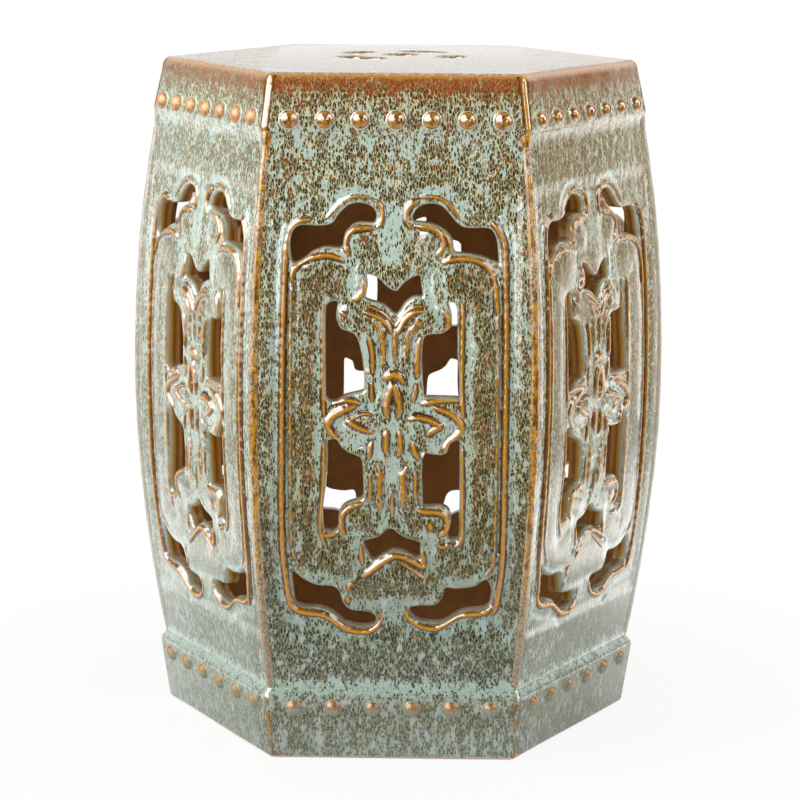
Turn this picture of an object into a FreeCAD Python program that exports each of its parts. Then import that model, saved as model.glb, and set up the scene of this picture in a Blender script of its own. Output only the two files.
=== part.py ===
"""A six-sided glazed stoneware garden stool, pierced on every side and through its seat.

Units are millimetres. +Z is up, the origin is the middle of the foot at floor level, and the
front side faces -Y. The stool is slab built: six curved, pierced side slabs meet at mitred
seams, a clay roll covers each seam, six base bands carry them and six collar bands carry the
seat slab. Small knobs are stuck on both rows of bands. All pieces are joined face to face.
"""
import FreeCAD
import Part

import math
import os
from FreeCAD import Vector

# Heights
seat_height = 470.0        # floor to the seat's rim
seat_crown = 2.4           # rise of the seat's middle over its rim
seat_thickness = 12.0
collar_height = 38.0       # the seat's rim down to the collar's lower lip
base_height = 51.0         # floor to the top of the base bands
belly_height = 250.0       # where the sides are widest

# Widths across opposite sides, and the wall
belly_width = 327.0
side_top_width = 296.8
side_bottom_width = 290.9
collar_bottom_width = 304.4
collar_top_width = 289.6
foot_width = 288.8
base_top_width = 302.2
wall = 12.0

# Edges and seams
seam_roll_radius = 3.4
seam_roll_reach = 1.4      # how far a roll stands out past the sharp corner
corner_rounding = 5.0
rim_rounding = 5.5
shoulder_rounding = 5.0    # the upper outer edge of the base bands

# Knobs: count per side, distance of the row from its band's edge, and size
upper_knob_count = 7
upper_knob_rise = 7.8      # above the collar's lower lip
upper_knob_margin = 16.5   # last knob to the corner
upper_knob_radius = 6.25
upper_knob_height = 4.5
lower_knob_count = 6
lower_knob_drop = 13.3     # below the top of the base bands
lower_knob_margin = 19.0
lower_knob_radius = 5.65
lower_knob_height = 4.2

# Pierced field on each side: its distance from the slab's edges
field_top_margin = 46.5
field_bottom_margin = 45.8
field_side_margin = 15.6   # from the seam at the slab's narrow lower edge

# The pattern is drawn on a field of this size, then fitted to the real one
drawn_width = 136.8
drawn_height = 288.4

# Seat piercing: an eye in the middle and a ring of kidney-shaped slots
eye_radius = 11.5
eye_centre = (0.5, 3.0)
slot_ring_radius = 39.0
slot_width = 17.0
# middle angle and half spread of each slot's centre line, in degrees
seat_slots = ((65.0, 13.0), (140.0, 6.0), (225.0, 17.0), (339.0, 6.0))

# Outlines of the openings, (across, up) on the drawn field. The across figure is taken from
# the side's middle line, and every opening off that line is repeated in mirror image.
TOP_COMMA = (
    (12.6, 278.9), (16.0, 285.9), (25.0, 288.4), (34.5, 283.9), (42.0, 275.2), (52.0, 273.3),
    (62.8, 272.3), (67.4, 265.2), (68.4, 252.4), (61.5, 251.9), (50.0, 256.4), (40.2, 258.1),
    (35.8, 262.0), (32.6, 270.0), (24.5, 275.1), (15.0, 276.0),
)
UPPER_WINDOW = (
    (20.5, 161.6), (31.0, 160.4), (41.0, 158.9), (44.2, 165.6), (44.2, 188.6), (43.2, 211.4),
    (40.0, 223.2), (37.4, 221.2), (37.8, 211.0), (33.5, 204.4), (25.0, 201.6), (20.9, 194.4),
    (19.9, 175.6),
)
LOWER_WINDOW = (
    (20.7, 118.0), (31.0, 121.0), (36.5, 126.7), (41.3, 130.6), (44.2, 123.6), (44.8, 93.6),
    (45.3, 70.8), (41.5, 64.5), (37.4, 68.0), (37.0, 77.5), (32.0, 84.8), (23.3, 87.4),
    (19.8, 94.6), (19.6, 107.6),
)
BOTTOM_COMMA = (
    (11.4, 7.9), (15.2, 13.6), (25.0, 14.2), (32.3, 17.8), (37.2, 26.1), (46.0, 28.1),
    (56.5, 30.4), (65.6, 35.2), (67.0, 24.6), (63.6, 15.1), (52.0, 12.2), (42.0, 8.7),
    (33.0, 3.2), (21.0, 0.6), (13.6, 2.9),
)
# Openings on the middle line: the right half only, top point to bottom point
BAT_OPENING = (
    (0.0, 231.6), (7.0, 236.4), (15.4, 241.0), (17.9, 234.6), (17.8, 227.4), (10.5, 224.8),
    (4.5, 220.0), (0.0, 216.4),
)
ROOF_OPENING = (
    (0.0, 69.6), (7.0, 64.2), (16.8, 60.4), (19.0, 56.4), (15.6, 49.0), (8.0, 51.6),
    (0.0, 53.8),
)

SIDES = ("front", "front_right", "back_right", "back", "back_left", "front_left")
SEAMS = ("right", "back_right", "back_left", "left", "front_left", "front_right")

HALF_TURN_OF_SIDE = math.radians(30.0)
side_bottom = base_height
side_top = seat_height - collar_height
far_out = belly_width


def across(apothem_width):
    """Half of a width across opposite sides."""
    return apothem_width / 2.0


def corner_radius(apothem):
    """Distance from the axis to a corner of a hexagon with this apothem."""
    return apothem / math.cos(HALF_TURN_OF_SIDE)


def side_length(apothem):
    return 2.0 * apothem * math.tan(HALF_TURN_OF_SIDE)


def between(low, high, height, low_height, high_height):
    """The value at a height, on a straight slope between two heights."""
    return low + (high - low) * (height - low_height) / (high_height - low_height)


def turned(shape, index):
    """The front side's shape, turned to the side or seam with this index."""
    copy = shape.copy()
    copy.rotate(Vector(0, 0, 0), Vector(0, 0, 1), 60.0 * index)
    return copy


def hexagon(apothem, height):
    """A hexagon wire with corners on the X axis."""
    radius = corner_radius(apothem)
    points = []
    for index in range(7):
        angle = math.radians(60.0 * index)
        points.append(Vector(radius * math.cos(angle), radius * math.sin(angle), height))
    return Part.makePolygon(points)


def hexagonal_block(low_apothem, high_apothem, low, high):
    """A six-sided block whose sides slope straight from one height to the other."""
    return Part.makeLoft([hexagon(low_apothem, low), hexagon(high_apothem, high)], True, True)


def rounded_corners(block, radius):
    """The block with its six upright edges rounded."""
    upright = []
    for edge in block.Edges:
        rise = abs(edge.Vertexes[0].Z - edge.Vertexes[-1].Z)
        if rise > 1e-3:
            upright.append(edge)
    return block.makeFillet(radius, upright)


def edges_at(shape, height):
    """The edges that lie level at one height."""
    level = []
    for edge in shape.Edges:
        box = edge.BoundBox
        if abs(box.ZMin - height) < 1e-3 and abs(box.ZMax - height) < 1e-3:
            level.append(edge)
    return level


def front_wedge(low, high):
    """The sixth of all space between the two seams beside the front side."""
    reach = far_out * math.tan(HALF_TURN_OF_SIDE)
    corners = [Vector(0, 0, low), Vector(reach, -far_out, low), Vector(-reach, -far_out, low)]
    corners.append(corners[0])
    floor = Part.Face(Part.makePolygon(corners))
    return floor.extrude(Vector(0, 0, high - low))


def smooth_outline(points, place):
    """A closed smooth curve through points of the drawn field."""
    curve = Part.BSplineCurve()
    curve.interpolate(Points=[place(u, z) for u, z in points], PeriodicFlag=True)
    return Part.Wire(curve.toShape())


def mirrored(points):
    return [(-u, z) for u, z in points]


def closed_from_half(points):
    """A whole outline from its right half."""
    left = [(-u, z) for u, z in reversed(points[1:-1])]
    return list(points) + left


def on_field(u, z):
    """A drawn point, placed on the upright plane through the middle of the stool."""
    field_bottom = side_bottom + field_bottom_margin
    field_top = side_top - field_top_margin
    half_width = side_length(across(side_bottom_width)) / 2.0 - field_side_margin
    x = u * half_width / (drawn_width / 2.0)
    height = field_bottom + z * (field_top - field_bottom) / drawn_height
    return Vector(x, 0, height)


def opening_cutter(points):
    """A prism that pierces the front side."""
    face = Part.Face(smooth_outline(points, on_field))
    return face.extrude(Vector(0, -far_out, 0))


def all_opening_cutters():
    cutters = []
    for outline in (TOP_COMMA, UPPER_WINDOW, LOWER_WINDOW, BOTTOM_COMMA):
        cutters.append(opening_cutter(outline))
        cutters.append(opening_cutter(mirrored(outline)))
    for half in (BAT_OPENING, ROOF_OPENING):
        cutters.append(opening_cutter(closed_from_half(half)))
    return cutters


def side_profile(inset):
    """Three points of a side's curve, moved in by an inset: low, belly and high."""
    low = Vector(0, -across(side_bottom_width) + inset, side_bottom)
    belly = Vector(0, -across(belly_width) + inset, belly_height)
    high = Vector(0, -across(side_top_width) + inset, side_top)
    return low, belly, high


def plain_side_slab():
    """The front slab before it is pierced, with mitred edges."""
    low_out, belly_out, high_out = side_profile(0.0)
    low_in, belly_in, high_in = side_profile(wall)
    outline = Part.Wire([
        Part.Arc(low_out, belly_out, high_out).toShape(),
        Part.makeLine(high_out, high_in),
        Part.Arc(high_in, belly_in, low_in).toShape(),
        Part.makeLine(low_in, low_out),
    ])
    sheet = Part.Face(outline)
    sheet.translate(Vector(-far_out, 0, 0))
    slab = sheet.extrude(Vector(2.0 * far_out, 0, 0))
    return slab.common(front_wedge(side_bottom, side_top))


def seam_roll():
    """The clay roll over the seam on the +X side."""
    inset = seam_roll_radius - seam_roll_reach
    path_points = []
    heights = (side_bottom, belly_height, side_top)
    widths = (side_bottom_width, belly_width, side_top_width)
    for width, height in zip(widths, heights):
        path_points.append(Vector(corner_radius(across(width)) - inset, 0, height))
    circle = Part.Arc(*path_points).toShape().Curve
    ring = Part.makeTorus(circle.Radius, seam_roll_radius, circle.Center, Vector(0, 1, 0))
    near_box = Part.makeBox(far_out, far_out, side_top - side_bottom)
    near_box.translate(Vector(across(side_bottom_width) / 2.0, -far_out / 2.0, side_bottom))
    return ring.common(near_box)


def side_slab():
    """The front slab, pierced and grooved for the rolls on its two seams."""
    slab = plain_side_slab().cut(all_opening_cutters())
    roll = seam_roll()
    return slab.cut([turned(roll, -1), turned(roll, -2)])


def collar_apothem(height):
    low = across(collar_bottom_width)
    high = across(collar_top_width)
    return between(low, high, height, side_top, seat_height)


def base_apothem(height):
    low = across(foot_width)
    high = across(base_top_width)
    return between(low, high, height, 0.0, base_height)


def inner_block(width, low, high):
    """The hollow inside bands that stand on or under the side slabs."""
    apothem = across(width) - wall
    return hexagonal_block(apothem, apothem, low - 1.0, high + 1.0)


def collar_band():
    """The front band under the seat, with its sloping face."""
    top = seat_height - seat_thickness
    block = hexagonal_block(collar_apothem(side_top), collar_apothem(top), side_top, top)
    ring = rounded_corners(block, corner_rounding).cut(inner_block(side_top_width, side_top, top))
    return ring.common(front_wedge(side_top, top))


def base_band():
    """The front band that stands on the floor, with a rounded shoulder."""
    block = hexagonal_block(base_apothem(0.0), base_apothem(base_height), 0.0, base_height)
    block = rounded_corners(block, corner_rounding)
    block = block.makeFillet(shoulder_rounding, edges_at(block, base_height))
    ring = block.cut(inner_block(side_bottom_width, 0.0, base_height))
    return ring.common(front_wedge(0.0, base_height))


def knob(radius, height):
    """A low dome with a flat back on the XY plane, rising along +Z."""
    sphere_radius = (radius ** 2 + height ** 2) / (2.0 * height)
    sink = sphere_radius - height
    latitude = math.degrees(math.asin(sink / sphere_radius))
    dome = Part.makeSphere(sphere_radius, Vector(0, 0, 0), Vector(0, 0, 1), latitude, 90, 360)
    dome.translate(Vector(0, 0, -sink))
    return dome


def knob_row(count, margin, radius, height, row_height, apothem, lean):
    """Knobs side by side on the front band. lean tips their axis up from level, in degrees."""
    first = -side_length(apothem) / 2.0 + margin
    pitch = (side_length(apothem) - 2.0 * margin) / (count - 1)
    knobs = []
    for index in range(count):
        dome = knob(radius, height)
        dome.rotate(Vector(0, 0, 0), Vector(1, 0, 0), 90.0 - lean)
        dome.translate(Vector(first + index * pitch, -apothem, row_height))
        knobs.append(dome)
    return Part.makeCompound(knobs)


def upper_knobs():
    row_height = side_top + upper_knob_rise
    draw_in = across(collar_bottom_width) - across(collar_top_width)
    lean = math.degrees(math.atan2(draw_in, collar_height))
    return knob_row(upper_knob_count, upper_knob_margin, upper_knob_radius, upper_knob_height,
                    row_height, collar_apothem(row_height), lean)


def lower_knobs():
    row_height = base_height - lower_knob_drop
    draw_in = across(foot_width) - across(base_top_width)
    lean = math.degrees(math.atan2(draw_in, base_height))
    return knob_row(lower_knob_count, lower_knob_margin, lower_knob_radius, lower_knob_height,
                    row_height, base_apothem(row_height), lean)


def kidney_slot(middle_angle, half_spread):
    """A cutter with round ends that follows the ring of slots."""
    inner = slot_ring_radius - slot_width / 2.0
    outer = slot_ring_radius + slot_width / 2.0
    depth = 4.0 * seat_thickness
    floor = seat_height - 2.0 * seat_thickness
    ring = Part.makeCylinder(outer, depth, Vector(0, 0, floor), Vector(0, 0, 1), 2.0 * half_spread)
    core = Part.makeCylinder(inner, depth, Vector(0, 0, floor))
    pieces = [ring.cut(core)]
    for angle in (0.0, 2.0 * half_spread):
        x = slot_ring_radius * math.cos(math.radians(angle))
        y = slot_ring_radius * math.sin(math.radians(angle))
        pieces.append(Part.makeCylinder(slot_width / 2.0, depth, Vector(x, y, floor)))
    slot = pieces[0].fuse(pieces[1:])
    slot.rotate(Vector(0, 0, 0), Vector(0, 0, 1), middle_angle - half_spread)
    return slot


def seat_slab():
    """The crowned top, with its pierced eye and ring of slots."""
    low = seat_height - seat_thickness
    block = hexagonal_block(collar_apothem(low), collar_apothem(seat_height), low, seat_height)
    block = rounded_corners(block, corner_rounding)
    block = block.makeFillet(rim_rounding, edges_at(block, seat_height))
    crown_reach = collar_apothem(seat_height) - rim_rounding
    sphere_radius = (crown_reach ** 2 + seat_crown ** 2) / (2.0 * seat_crown)
    crown_ball = Part.makeSphere(sphere_radius, Vector(0, 0, seat_height + seat_crown - sphere_radius))
    crown_drum = Part.makeCylinder(crown_reach, seat_crown + wall / 2.0, Vector(0, 0, seat_height - wall / 2.0))
    block = block.fuse(crown_drum.common(crown_ball))
    x, y = eye_centre
    cutters = [Part.makeCylinder(eye_radius, 4.0 * seat_thickness, Vector(x, y, low - seat_thickness))]
    for middle_angle, half_spread in seat_slots:
        cutters.append(kidney_slot(middle_angle, half_spread))
    return block.cut(cutters)


def save(shape, name):
    """Write one piece, or one row of like pieces, and report its size."""
    cleaned = shape.removeSplitter()
    solids = cleaned.Solids
    if not cleaned.isValid() or not solids:
        raise ValueError(name + " isn't a valid solid")
    piece = solids[0] if len(solids) == 1 else Part.makeCompound(solids)
    piece.exportStep(os.path.join("parts", name + ".step"))
    print(name, len(solids), "solid(s),", round(piece.Volume / 1000.0, 1), "cm3")


def main():
    os.makedirs("parts", exist_ok=True)
    save(seat_slab(), "seat_top")
    rows = (
        ("side_panel", side_slab()),
        ("collar_band", collar_band()),
        ("base_band", base_band()),
        ("upper_knobs", upper_knobs()),
        ("lower_knobs", lower_knobs()),
    )
    for kind, shape in rows:
        for index, side in enumerate(SIDES):
            save(turned(shape, index), kind + "_" + side)
    roll = seam_roll()
    for index, seam in enumerate(SEAMS):
        save(turned(roll, index), "seam_roll_" + seam)


main()
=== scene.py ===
"""A six-sided, pierced ceramic garden stool with a running, speckled glaze.

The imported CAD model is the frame. The glazed pieces are modelled over its nodes in millimetres,
turned into metres when a mesh is made. Most pieces belong to one side of the stool. They are
modelled for the front side, which faces -Y, and copied round by sixths of a turn.
"""

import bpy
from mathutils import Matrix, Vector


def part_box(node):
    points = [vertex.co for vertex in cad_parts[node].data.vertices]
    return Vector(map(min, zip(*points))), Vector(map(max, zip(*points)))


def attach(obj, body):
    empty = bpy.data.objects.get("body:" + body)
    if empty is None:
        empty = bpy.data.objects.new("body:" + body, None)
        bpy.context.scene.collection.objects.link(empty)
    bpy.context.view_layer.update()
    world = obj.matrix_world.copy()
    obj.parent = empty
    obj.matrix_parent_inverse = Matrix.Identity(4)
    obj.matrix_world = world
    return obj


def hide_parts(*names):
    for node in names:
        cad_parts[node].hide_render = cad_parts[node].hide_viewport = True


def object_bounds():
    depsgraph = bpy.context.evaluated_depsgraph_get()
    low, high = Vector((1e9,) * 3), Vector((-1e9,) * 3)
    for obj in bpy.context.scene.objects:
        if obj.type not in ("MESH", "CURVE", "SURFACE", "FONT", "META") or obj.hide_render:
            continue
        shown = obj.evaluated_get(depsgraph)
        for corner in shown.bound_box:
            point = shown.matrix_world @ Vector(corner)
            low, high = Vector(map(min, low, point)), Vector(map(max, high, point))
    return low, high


bl_info = {
    "name": "Pierced garden stool",
    "version": (1, 0, 0),
    "blender": (4, 5, 0),
    "location": "View3D > Sidebar > Stool",
    "description": "Builds the glazed pieces of a pierced ceramic garden stool",
    "category": "Mesh",
}

import math

import bpy
import numpy as np
from mathutils import Matrix, Vector
from mathutils.geometry import delaunay_2d_cdt

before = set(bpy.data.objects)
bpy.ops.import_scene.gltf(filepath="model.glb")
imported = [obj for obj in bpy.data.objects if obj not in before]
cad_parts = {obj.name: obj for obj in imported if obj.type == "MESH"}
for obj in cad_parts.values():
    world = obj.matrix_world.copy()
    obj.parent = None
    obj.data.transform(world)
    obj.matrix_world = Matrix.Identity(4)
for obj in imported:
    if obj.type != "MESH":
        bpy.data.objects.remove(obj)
cad_low, cad_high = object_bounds()

# Millimetres in a metre
METRE = 1000.0
SIDES = ("front", "front_right", "back_right", "back", "back_left", "front_left")
SEAMS = ("right", "back_right", "back_left", "left", "front_left", "front_right")
SIXTH = math.radians(60.0)
# Half of a side's length for each millimetre of half width across the sides
HALF_SIDE = math.tan(math.radians(30.0))

# Heights and half widths that the CAD pieces give
panel_low, panel_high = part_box("side_panel_front")
seat_low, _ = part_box("seat_top")
PANEL_FOOT = panel_low.z * METRE
PANEL_HEAD = panel_high.z * METRE
BELLY = -panel_low.y * METRE
SEAT_UNDER = seat_low.z * METRE
CAD_FRONT = -cad_low.y * METRE
CAD_TOP = cad_high.z * METRE

# The side's curve: the belly's height, how fast the half width falls off from it, and the rim
BELLY_HEIGHT = 250.0
BELLY_FALL = 4.558e-4
SEAT_RIM = 470.0

# Half widths of the two rows of bands, at the foot and the head of each
COLLAR_HALF = (152.2, 144.8)
BASE_HALF = (144.4, 151.1)

# Heights between which the glaze runs over a band's edge, and the rounding under the foot
COLLAR_LIP = (425.5, 435.0)
BASE_LIP = (53.5, 44.0)
FOOT_INSET = 2.4
FOOT_RISE = 3.0

# Distances from a side's middle line between which its small unevenness sets in
WAVER_FADE = (78.0, 60.0)


def paint(red, green, blue):
    """A colour as it is seen on screen, 0 to 255, made linear."""
    linear = []
    for value in (red, green, blue):
        share = value / 255.0
        linear.append(share / 12.92 if share <= 0.04045 else ((share + 0.055) / 1.055) ** 2.4)
    return tuple(linear)


def size_property(name, description, default, least, most=1000.0):
    """A setting in millimetres."""
    return bpy.props.FloatProperty(name=name, description=description + ", in millimetres",
                                   default=default, min=least, max=most)


def colour_property(name, description, *seen):
    """A setting for a colour, from the colour as it is seen."""
    return bpy.props.FloatVectorProperty(name=name, description=description, default=paint(*seen),
                                         subtype="COLOR", size=3)


class StoolSizes(bpy.types.PropertyGroup):
    """Sizes of the glazed pieces"""

    wall: size_property("Wall", "Thickness of the clay slabs", 12.0, 4.0)
    roll_radius: size_property("Seam roll", "Radius of the clay roll on each seam", 3.4, 1.0)
    roll_reach: size_property("Roll reach", "How far a roll stands out past the corner", 1.4, 0.2)
    corner_rounding: size_property("Corner rounding", "Radius of the bands' corners", 5.0, 1.0)
    rim_rounding: size_property("Rim rounding", "Radius of the seat's rim", 6.0, 1.0)
    crown: size_property("Seat crown", "Rise of the seat's middle", 2.3, 0.0, 2.4)
    upper_knob_radius: size_property("Upper knob", "Radius of the collar's knobs", 6.25, 2.0)
    lower_knob_radius: size_property("Lower knob", "Radius of the base's knobs", 5.65, 2.0)
    relief: bpy.props.FloatProperty(
        name="Relief", description="Scale of the ornament's height",
        default=1.0, min=0.1, max=1.2, subtype="FACTOR")


class GlazeColours(bpy.types.PropertyGroup):
    """Colours of the glaze and the bare clay"""

    amber: colour_property("Amber", "Glaze where it is thin on a ridge or an edge", 206, 148, 32)
    deep_amber: colour_property("Deep amber", "Darker patches in the amber", 108, 62, 8)
    line: colour_property("Line", "Dark line that gathers beside a ridge", 72, 46, 8)
    inside: colour_property("Inside", "Brown glaze of the walls and the hollow", 188, 130, 48)
    clay: colour_property("Clay", "Bare clay of the foot", 206, 178, 160)


def smooth(value, start, end):
    """0 before start, 1 after end, and an even curve between them. Start may be the larger."""
    share = np.clip((np.asarray(value, float) - start) / (end - start), 0.0, 1.0)
    return share * share * (3.0 - 2.0 * share)


def side_skin(height):
    """Half width across the sides, for the curved part."""
    return BELLY - BELLY_FALL * (height - BELLY_HEIGHT) ** 2


def skin(height):
    """Half width across the sides at any height, with the glaze running softly over each step."""
    height = np.asarray(height, float)
    side = side_skin(height)
    collar_share = (height - PANEL_HEAD) / (SEAT_RIM - PANEL_HEAD)
    collar = COLLAR_HALF[0] + (COLLAR_HALF[1] - COLLAR_HALF[0]) * collar_share
    base = BASE_HALF[0] + (BASE_HALF[1] - BASE_HALF[0]) * height / PANEL_FOOT
    under = 1.0 - np.clip(height / FOOT_RISE, 0.0, 1.0)
    foot = FOOT_INSET * (1.0 - np.sqrt(np.clip(1.0 - under ** 2, 0.0, 1.0)))
    on_collar = smooth(height, *COLLAR_LIP)
    on_base = smooth(height, *BASE_LIP)
    return side + (collar - side) * on_collar + (base - side) * on_base - foot


def waver(across, height):
    """Small unevenness of hand-finished clay, the same on every side and none at the seams."""
    across = np.asarray(across, float)
    height = np.asarray(height, float)
    slow = np.sin(across / 21.0 + 0.6) * np.cos(height / 34.0) + np.sin(height / 19.0 + across / 47.0)
    quick = np.sin(across / 7.3 + height / 15.0) * np.sin(height / 8.9 - across / 13.0)
    return (0.16 * slow + 0.06 * quick) * smooth(np.abs(across), *WAVER_FADE)


# Materials

GLAZE_IOR = 1.75
# Depth in metres of the glaze's own unevenness on the pieces
PANEL_SWELL = 0.0004
SEAT_SWELL = 0.00005
SEAM_SWELL = 0.0005
KNOB_SWELL = 0.0003
# The height in millimetres at which the ramps end
RAMP_TOP = 480.0


class Signal:
    """A number, colour or place that one node hands to the next."""

    def __init__(self, bench, socket):
        self.bench = bench
        self.socket = socket

    def __add__(self, other):
        return self.bench.math("ADD", self, other)

    def __sub__(self, other):
        return self.bench.math("SUBTRACT", self, other)

    def __rsub__(self, other):
        return self.bench.math("SUBTRACT", other, self)

    def __mul__(self, other):
        return self.bench.math("MULTIPLY", self, other)

    def __abs__(self):
        return self.bench.math("ABSOLUTE", self)

    def step(self, start, end, low=0.0, high=1.0):
        """A smooth change from low to high while this signal goes from start to end."""
        inputs = {"Value": self, "From Min": start, "From Max": end, "To Min": low, "To Max": high}
        return self.bench.signal("ShaderNodeMapRange", inputs, interpolation_type="SMOOTHSTEP")

    def spread(self, low, high):
        """A noise's usual range, stretched to run from low to high."""
        return self.step(0.3, 0.7, low, high)

    def between(self, start, soft_start, soft_end, end):
        """1 between two soft limits and 0 outside them."""
        return self.step(start, soft_start) * self.step(end, soft_end)

    def ramp(self, stops):
        """What the stops say at this height: millimetres with a seen colour or a number."""
        node = self.bench.add("ShaderNodeValToRGB", {0: self.bench.math("DIVIDE", self, RAMP_TOP)})
        elements = node.color_ramp.elements
        while len(elements) < len(stops):
            elements.new(0.5)
        for element, (level, value) in zip(elements, stops):
            element.position = level / RAMP_TOP
            colour = paint(*value) if isinstance(value, tuple) else (value, value, value)
            element.color = (*colour, 1.0)
        return Signal(self.bench, node.outputs[0])


class Bench:
    """The nodes of a material or a world, with short calls that add to them."""

    def __init__(self, owner, coordinates="Object", unit=1.0):
        owner.use_nodes = True
        self.owner = owner
        self.nodes = owner.node_tree.nodes
        self.links = owner.node_tree.links
        self.place = self.signal("ShaderNodeTexCoord", output=coordinates)
        axes = self.add("ShaderNodeSeparateXYZ", {0: self.place}).outputs
        self.across, self.ahead, self.height = [Signal(self, axis) * unit for axis in axes]

    def feed(self, socket, value):
        """Link a signal or socket to an input, or set the input's own value."""
        if isinstance(value, Signal):
            value = value.socket
        if isinstance(value, bpy.types.NodeSocket):
            self.links.new(value, socket)
        elif socket.type == "RGBA":
            socket.default_value = (*value[:3], 1.0)
        else:
            socket.default_value = value

    def add(self, kind, inputs=(), **settings):
        node = self.nodes.new(kind)
        for key, value in settings.items():
            setattr(node, key, value)
        for key, value in dict(inputs).items():
            self.feed(node.inputs[key], value)
        return node

    def signal(self, kind, inputs=(), output=0, **settings):
        """Add a node and take one of its outputs."""
        return Signal(self, self.add(kind, inputs, **settings).outputs[output])

    def math(self, operation, first, second=0.0):
        return self.signal("ShaderNodeMath", {0: first, 1: second}, operation=operation)

    def mix(self, amount, first, second):
        """A number between two others."""
        return self.signal("ShaderNodeMix", {0: amount, 2: first, 3: second})

    def blend(self, amount, first, second):
        """A colour between two others."""
        return self.signal("ShaderNodeMix", {0: amount, 6: first, 7: second}, 2, data_type="RGBA")

    def grain(self, width, tall):
        """Places in units of a grain's width in millimetres, drawn out upwards by tall."""
        scale = (METRE / width, METRE / width, METRE / (width * tall))
        return self.signal("ShaderNodeMapping", {"Vector": self.place, "Scale": scale})

    def noise(self, width, tall, detail=2.0, roughness=0.5, distortion=0.0):
        inputs = {"Vector": self.grain(width, tall), "Scale": 1.0, "Detail": detail,
                  "Roughness": roughness, "Distortion": distortion}
        return self.signal("ShaderNodeTexNoise", inputs)

    def wandering(self, width, tall):
        """Places in units of a cell, shifted about by a slow noise."""
        inputs = {"Vector": self.grain(width * 1.5, tall), "Scale": 1.0}
        shift = self.signal("ShaderNodeTexNoise", inputs, "Color")
        return self.signal("ShaderNodeVectorMath", {0: shift, 1: self.grain(width, tall)}, operation="ADD")

    def cells(self, place):
        """The distance to the nearest cell's middle, and that cell's three random numbers."""
        found = self.add("ShaderNodeTexVoronoi", {"Vector": place, "Scale": 1.0})
        picks = self.add("ShaderNodeSeparateColor", {0: found.outputs["Color"]}).outputs
        return Signal(self, found.outputs["Distance"]), [Signal(self, pick) for pick in picks]

    def cell_edges(self, place):
        """The distance to the nearest edge between two cells."""
        inputs = {"Vector": place, "Scale": 1.0}
        return self.signal("ShaderNodeTexVoronoi", inputs, "Distance", feature="DISTANCE_TO_EDGE")

    def attribute(self, name):
        return self.signal("ShaderNodeAttribute", output="Fac", attribute_name=name)


class Glaze(Bench):
    """A glossy coat over clay, in millimetres."""

    def __init__(self, name, colours):
        super().__init__(bpy.data.materials.new(name), unit=METRE)
        self.colours = colours
        self.shader = self.nodes["Principled BSDF"]

    def finish(self, colour, roughness, swell, swell_depth):
        """Set the shader, with a swelling surface of a depth in metres, and return the material."""
        normal = self.signal("ShaderNodeBump", {"Height": swell, "Distance": swell_depth, "Strength": 1.0})
        for name, value in (("Base Color", colour), ("Roughness", roughness), ("IOR", GLAZE_IOR),
                            ("Normal", normal)):
            self.feed(self.shader.inputs[name], value)
        return self.owner


# What the glaze does at each height: colours as seen, the share of specks and the share of rust. The pale,
# sparsely specked stops at 472 mm, on the seat's top, are partly the glaze and partly a painted reflection of
# the bright room
TEAL_BY_HEIGHT = (
    (0.0, (154, 164, 153)), (42.0, (148, 160, 146)), (47.0, (162, 180, 166)), (52.0, (176, 198, 184)),
    (58.0, (146, 163, 148)), (100.0, (148, 166, 150)), (145.0, (154, 168, 148)), (190.0, (178, 194, 172)),
    (300.0, (188, 208, 190)), (360.0, (196, 217, 201)), (430.0, (194, 214, 200)), (450.0, (196, 208, 182)),
    (460.0, (190, 178, 132)), (467.0, (186, 150, 96)), (472.0, (190, 196, 180)),
)
CREAM_BY_HEIGHT = (
    (0.0, (142, 146, 132)), (48.0, (154, 162, 142)), (70.0, (140, 147, 123)), (145.0, (148, 148, 114)),
    (240.0, (198, 197, 154)), (380.0, (216, 219, 178)), (448.0, (214, 214, 172)), (458.0, (200, 182, 124)),
    (466.0, (190, 138, 70)), (472.0, (196, 190, 164)),
)
SPECK_BY_HEIGHT = (
    (0.0, (90, 92, 70)), (42.0, (76, 72, 42)), (60.0, (40, 42, 20)), (120.0, (38, 36, 12)),
    (200.0, (62, 44, 8)), (400.0, (66, 46, 8)), (452.0, (76, 46, 8)), (459.0, (110, 50, 8)),
    (465.0, (166, 74, 0)), (472.0, (120, 92, 60)),
)
COVER_BY_HEIGHT = (
    (0.0, 0.36), (34.0, 0.50), (44.0, 0.44), (48.5, 0.08), (53.0, 0.08), (57.0, 0.58), (90.0, 0.56),
    (120.0, 0.63), (150.0, 0.66), (200.0, 0.64), (400.0, 0.62), (417.0, 0.60), (424.0, 0.50), (431.0, 0.46),
    (437.0, 0.54), (450.0, 0.60), (460.0, 0.76), (465.0, 0.90), (470.0, 0.60), (472.0, 0.30),
)
RUST_BY_HEIGHT = (
    (0.0, 0.0), (110.0, 0.03), (200.0, 0.20), (300.0, 0.24), (420.0, 0.27), (455.0, 0.34), (460.0, 0.6),
    (466.0, 0.6), (472.0, 0.1),
)

# Tints of the ground between the specks
CLOUD_TEAL = paint(178, 186, 188)
RUN_TEAL = paint(188, 200, 198)
BROWN_TEAL = paint(168, 162, 126)
BROWN_CREAM = paint(166, 152, 106)
OLIVE_TEAL = paint(160, 142, 100)
OLIVE_CREAM = paint(166, 142, 92)
COOL_CREAM = paint(172, 200, 180)
# Painted sheen: pale greys that stand in for the reflection of the bright room on the outer parts of the side
# faces
OUTER_SHEEN_TEAL = paint(184, 194, 190)
OUTER_SHEEN_CREAM = paint(184, 190, 180)
RUST_GROUND = paint(176, 120, 66)
RIM_GOLD = paint(214, 146, 54)

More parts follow.
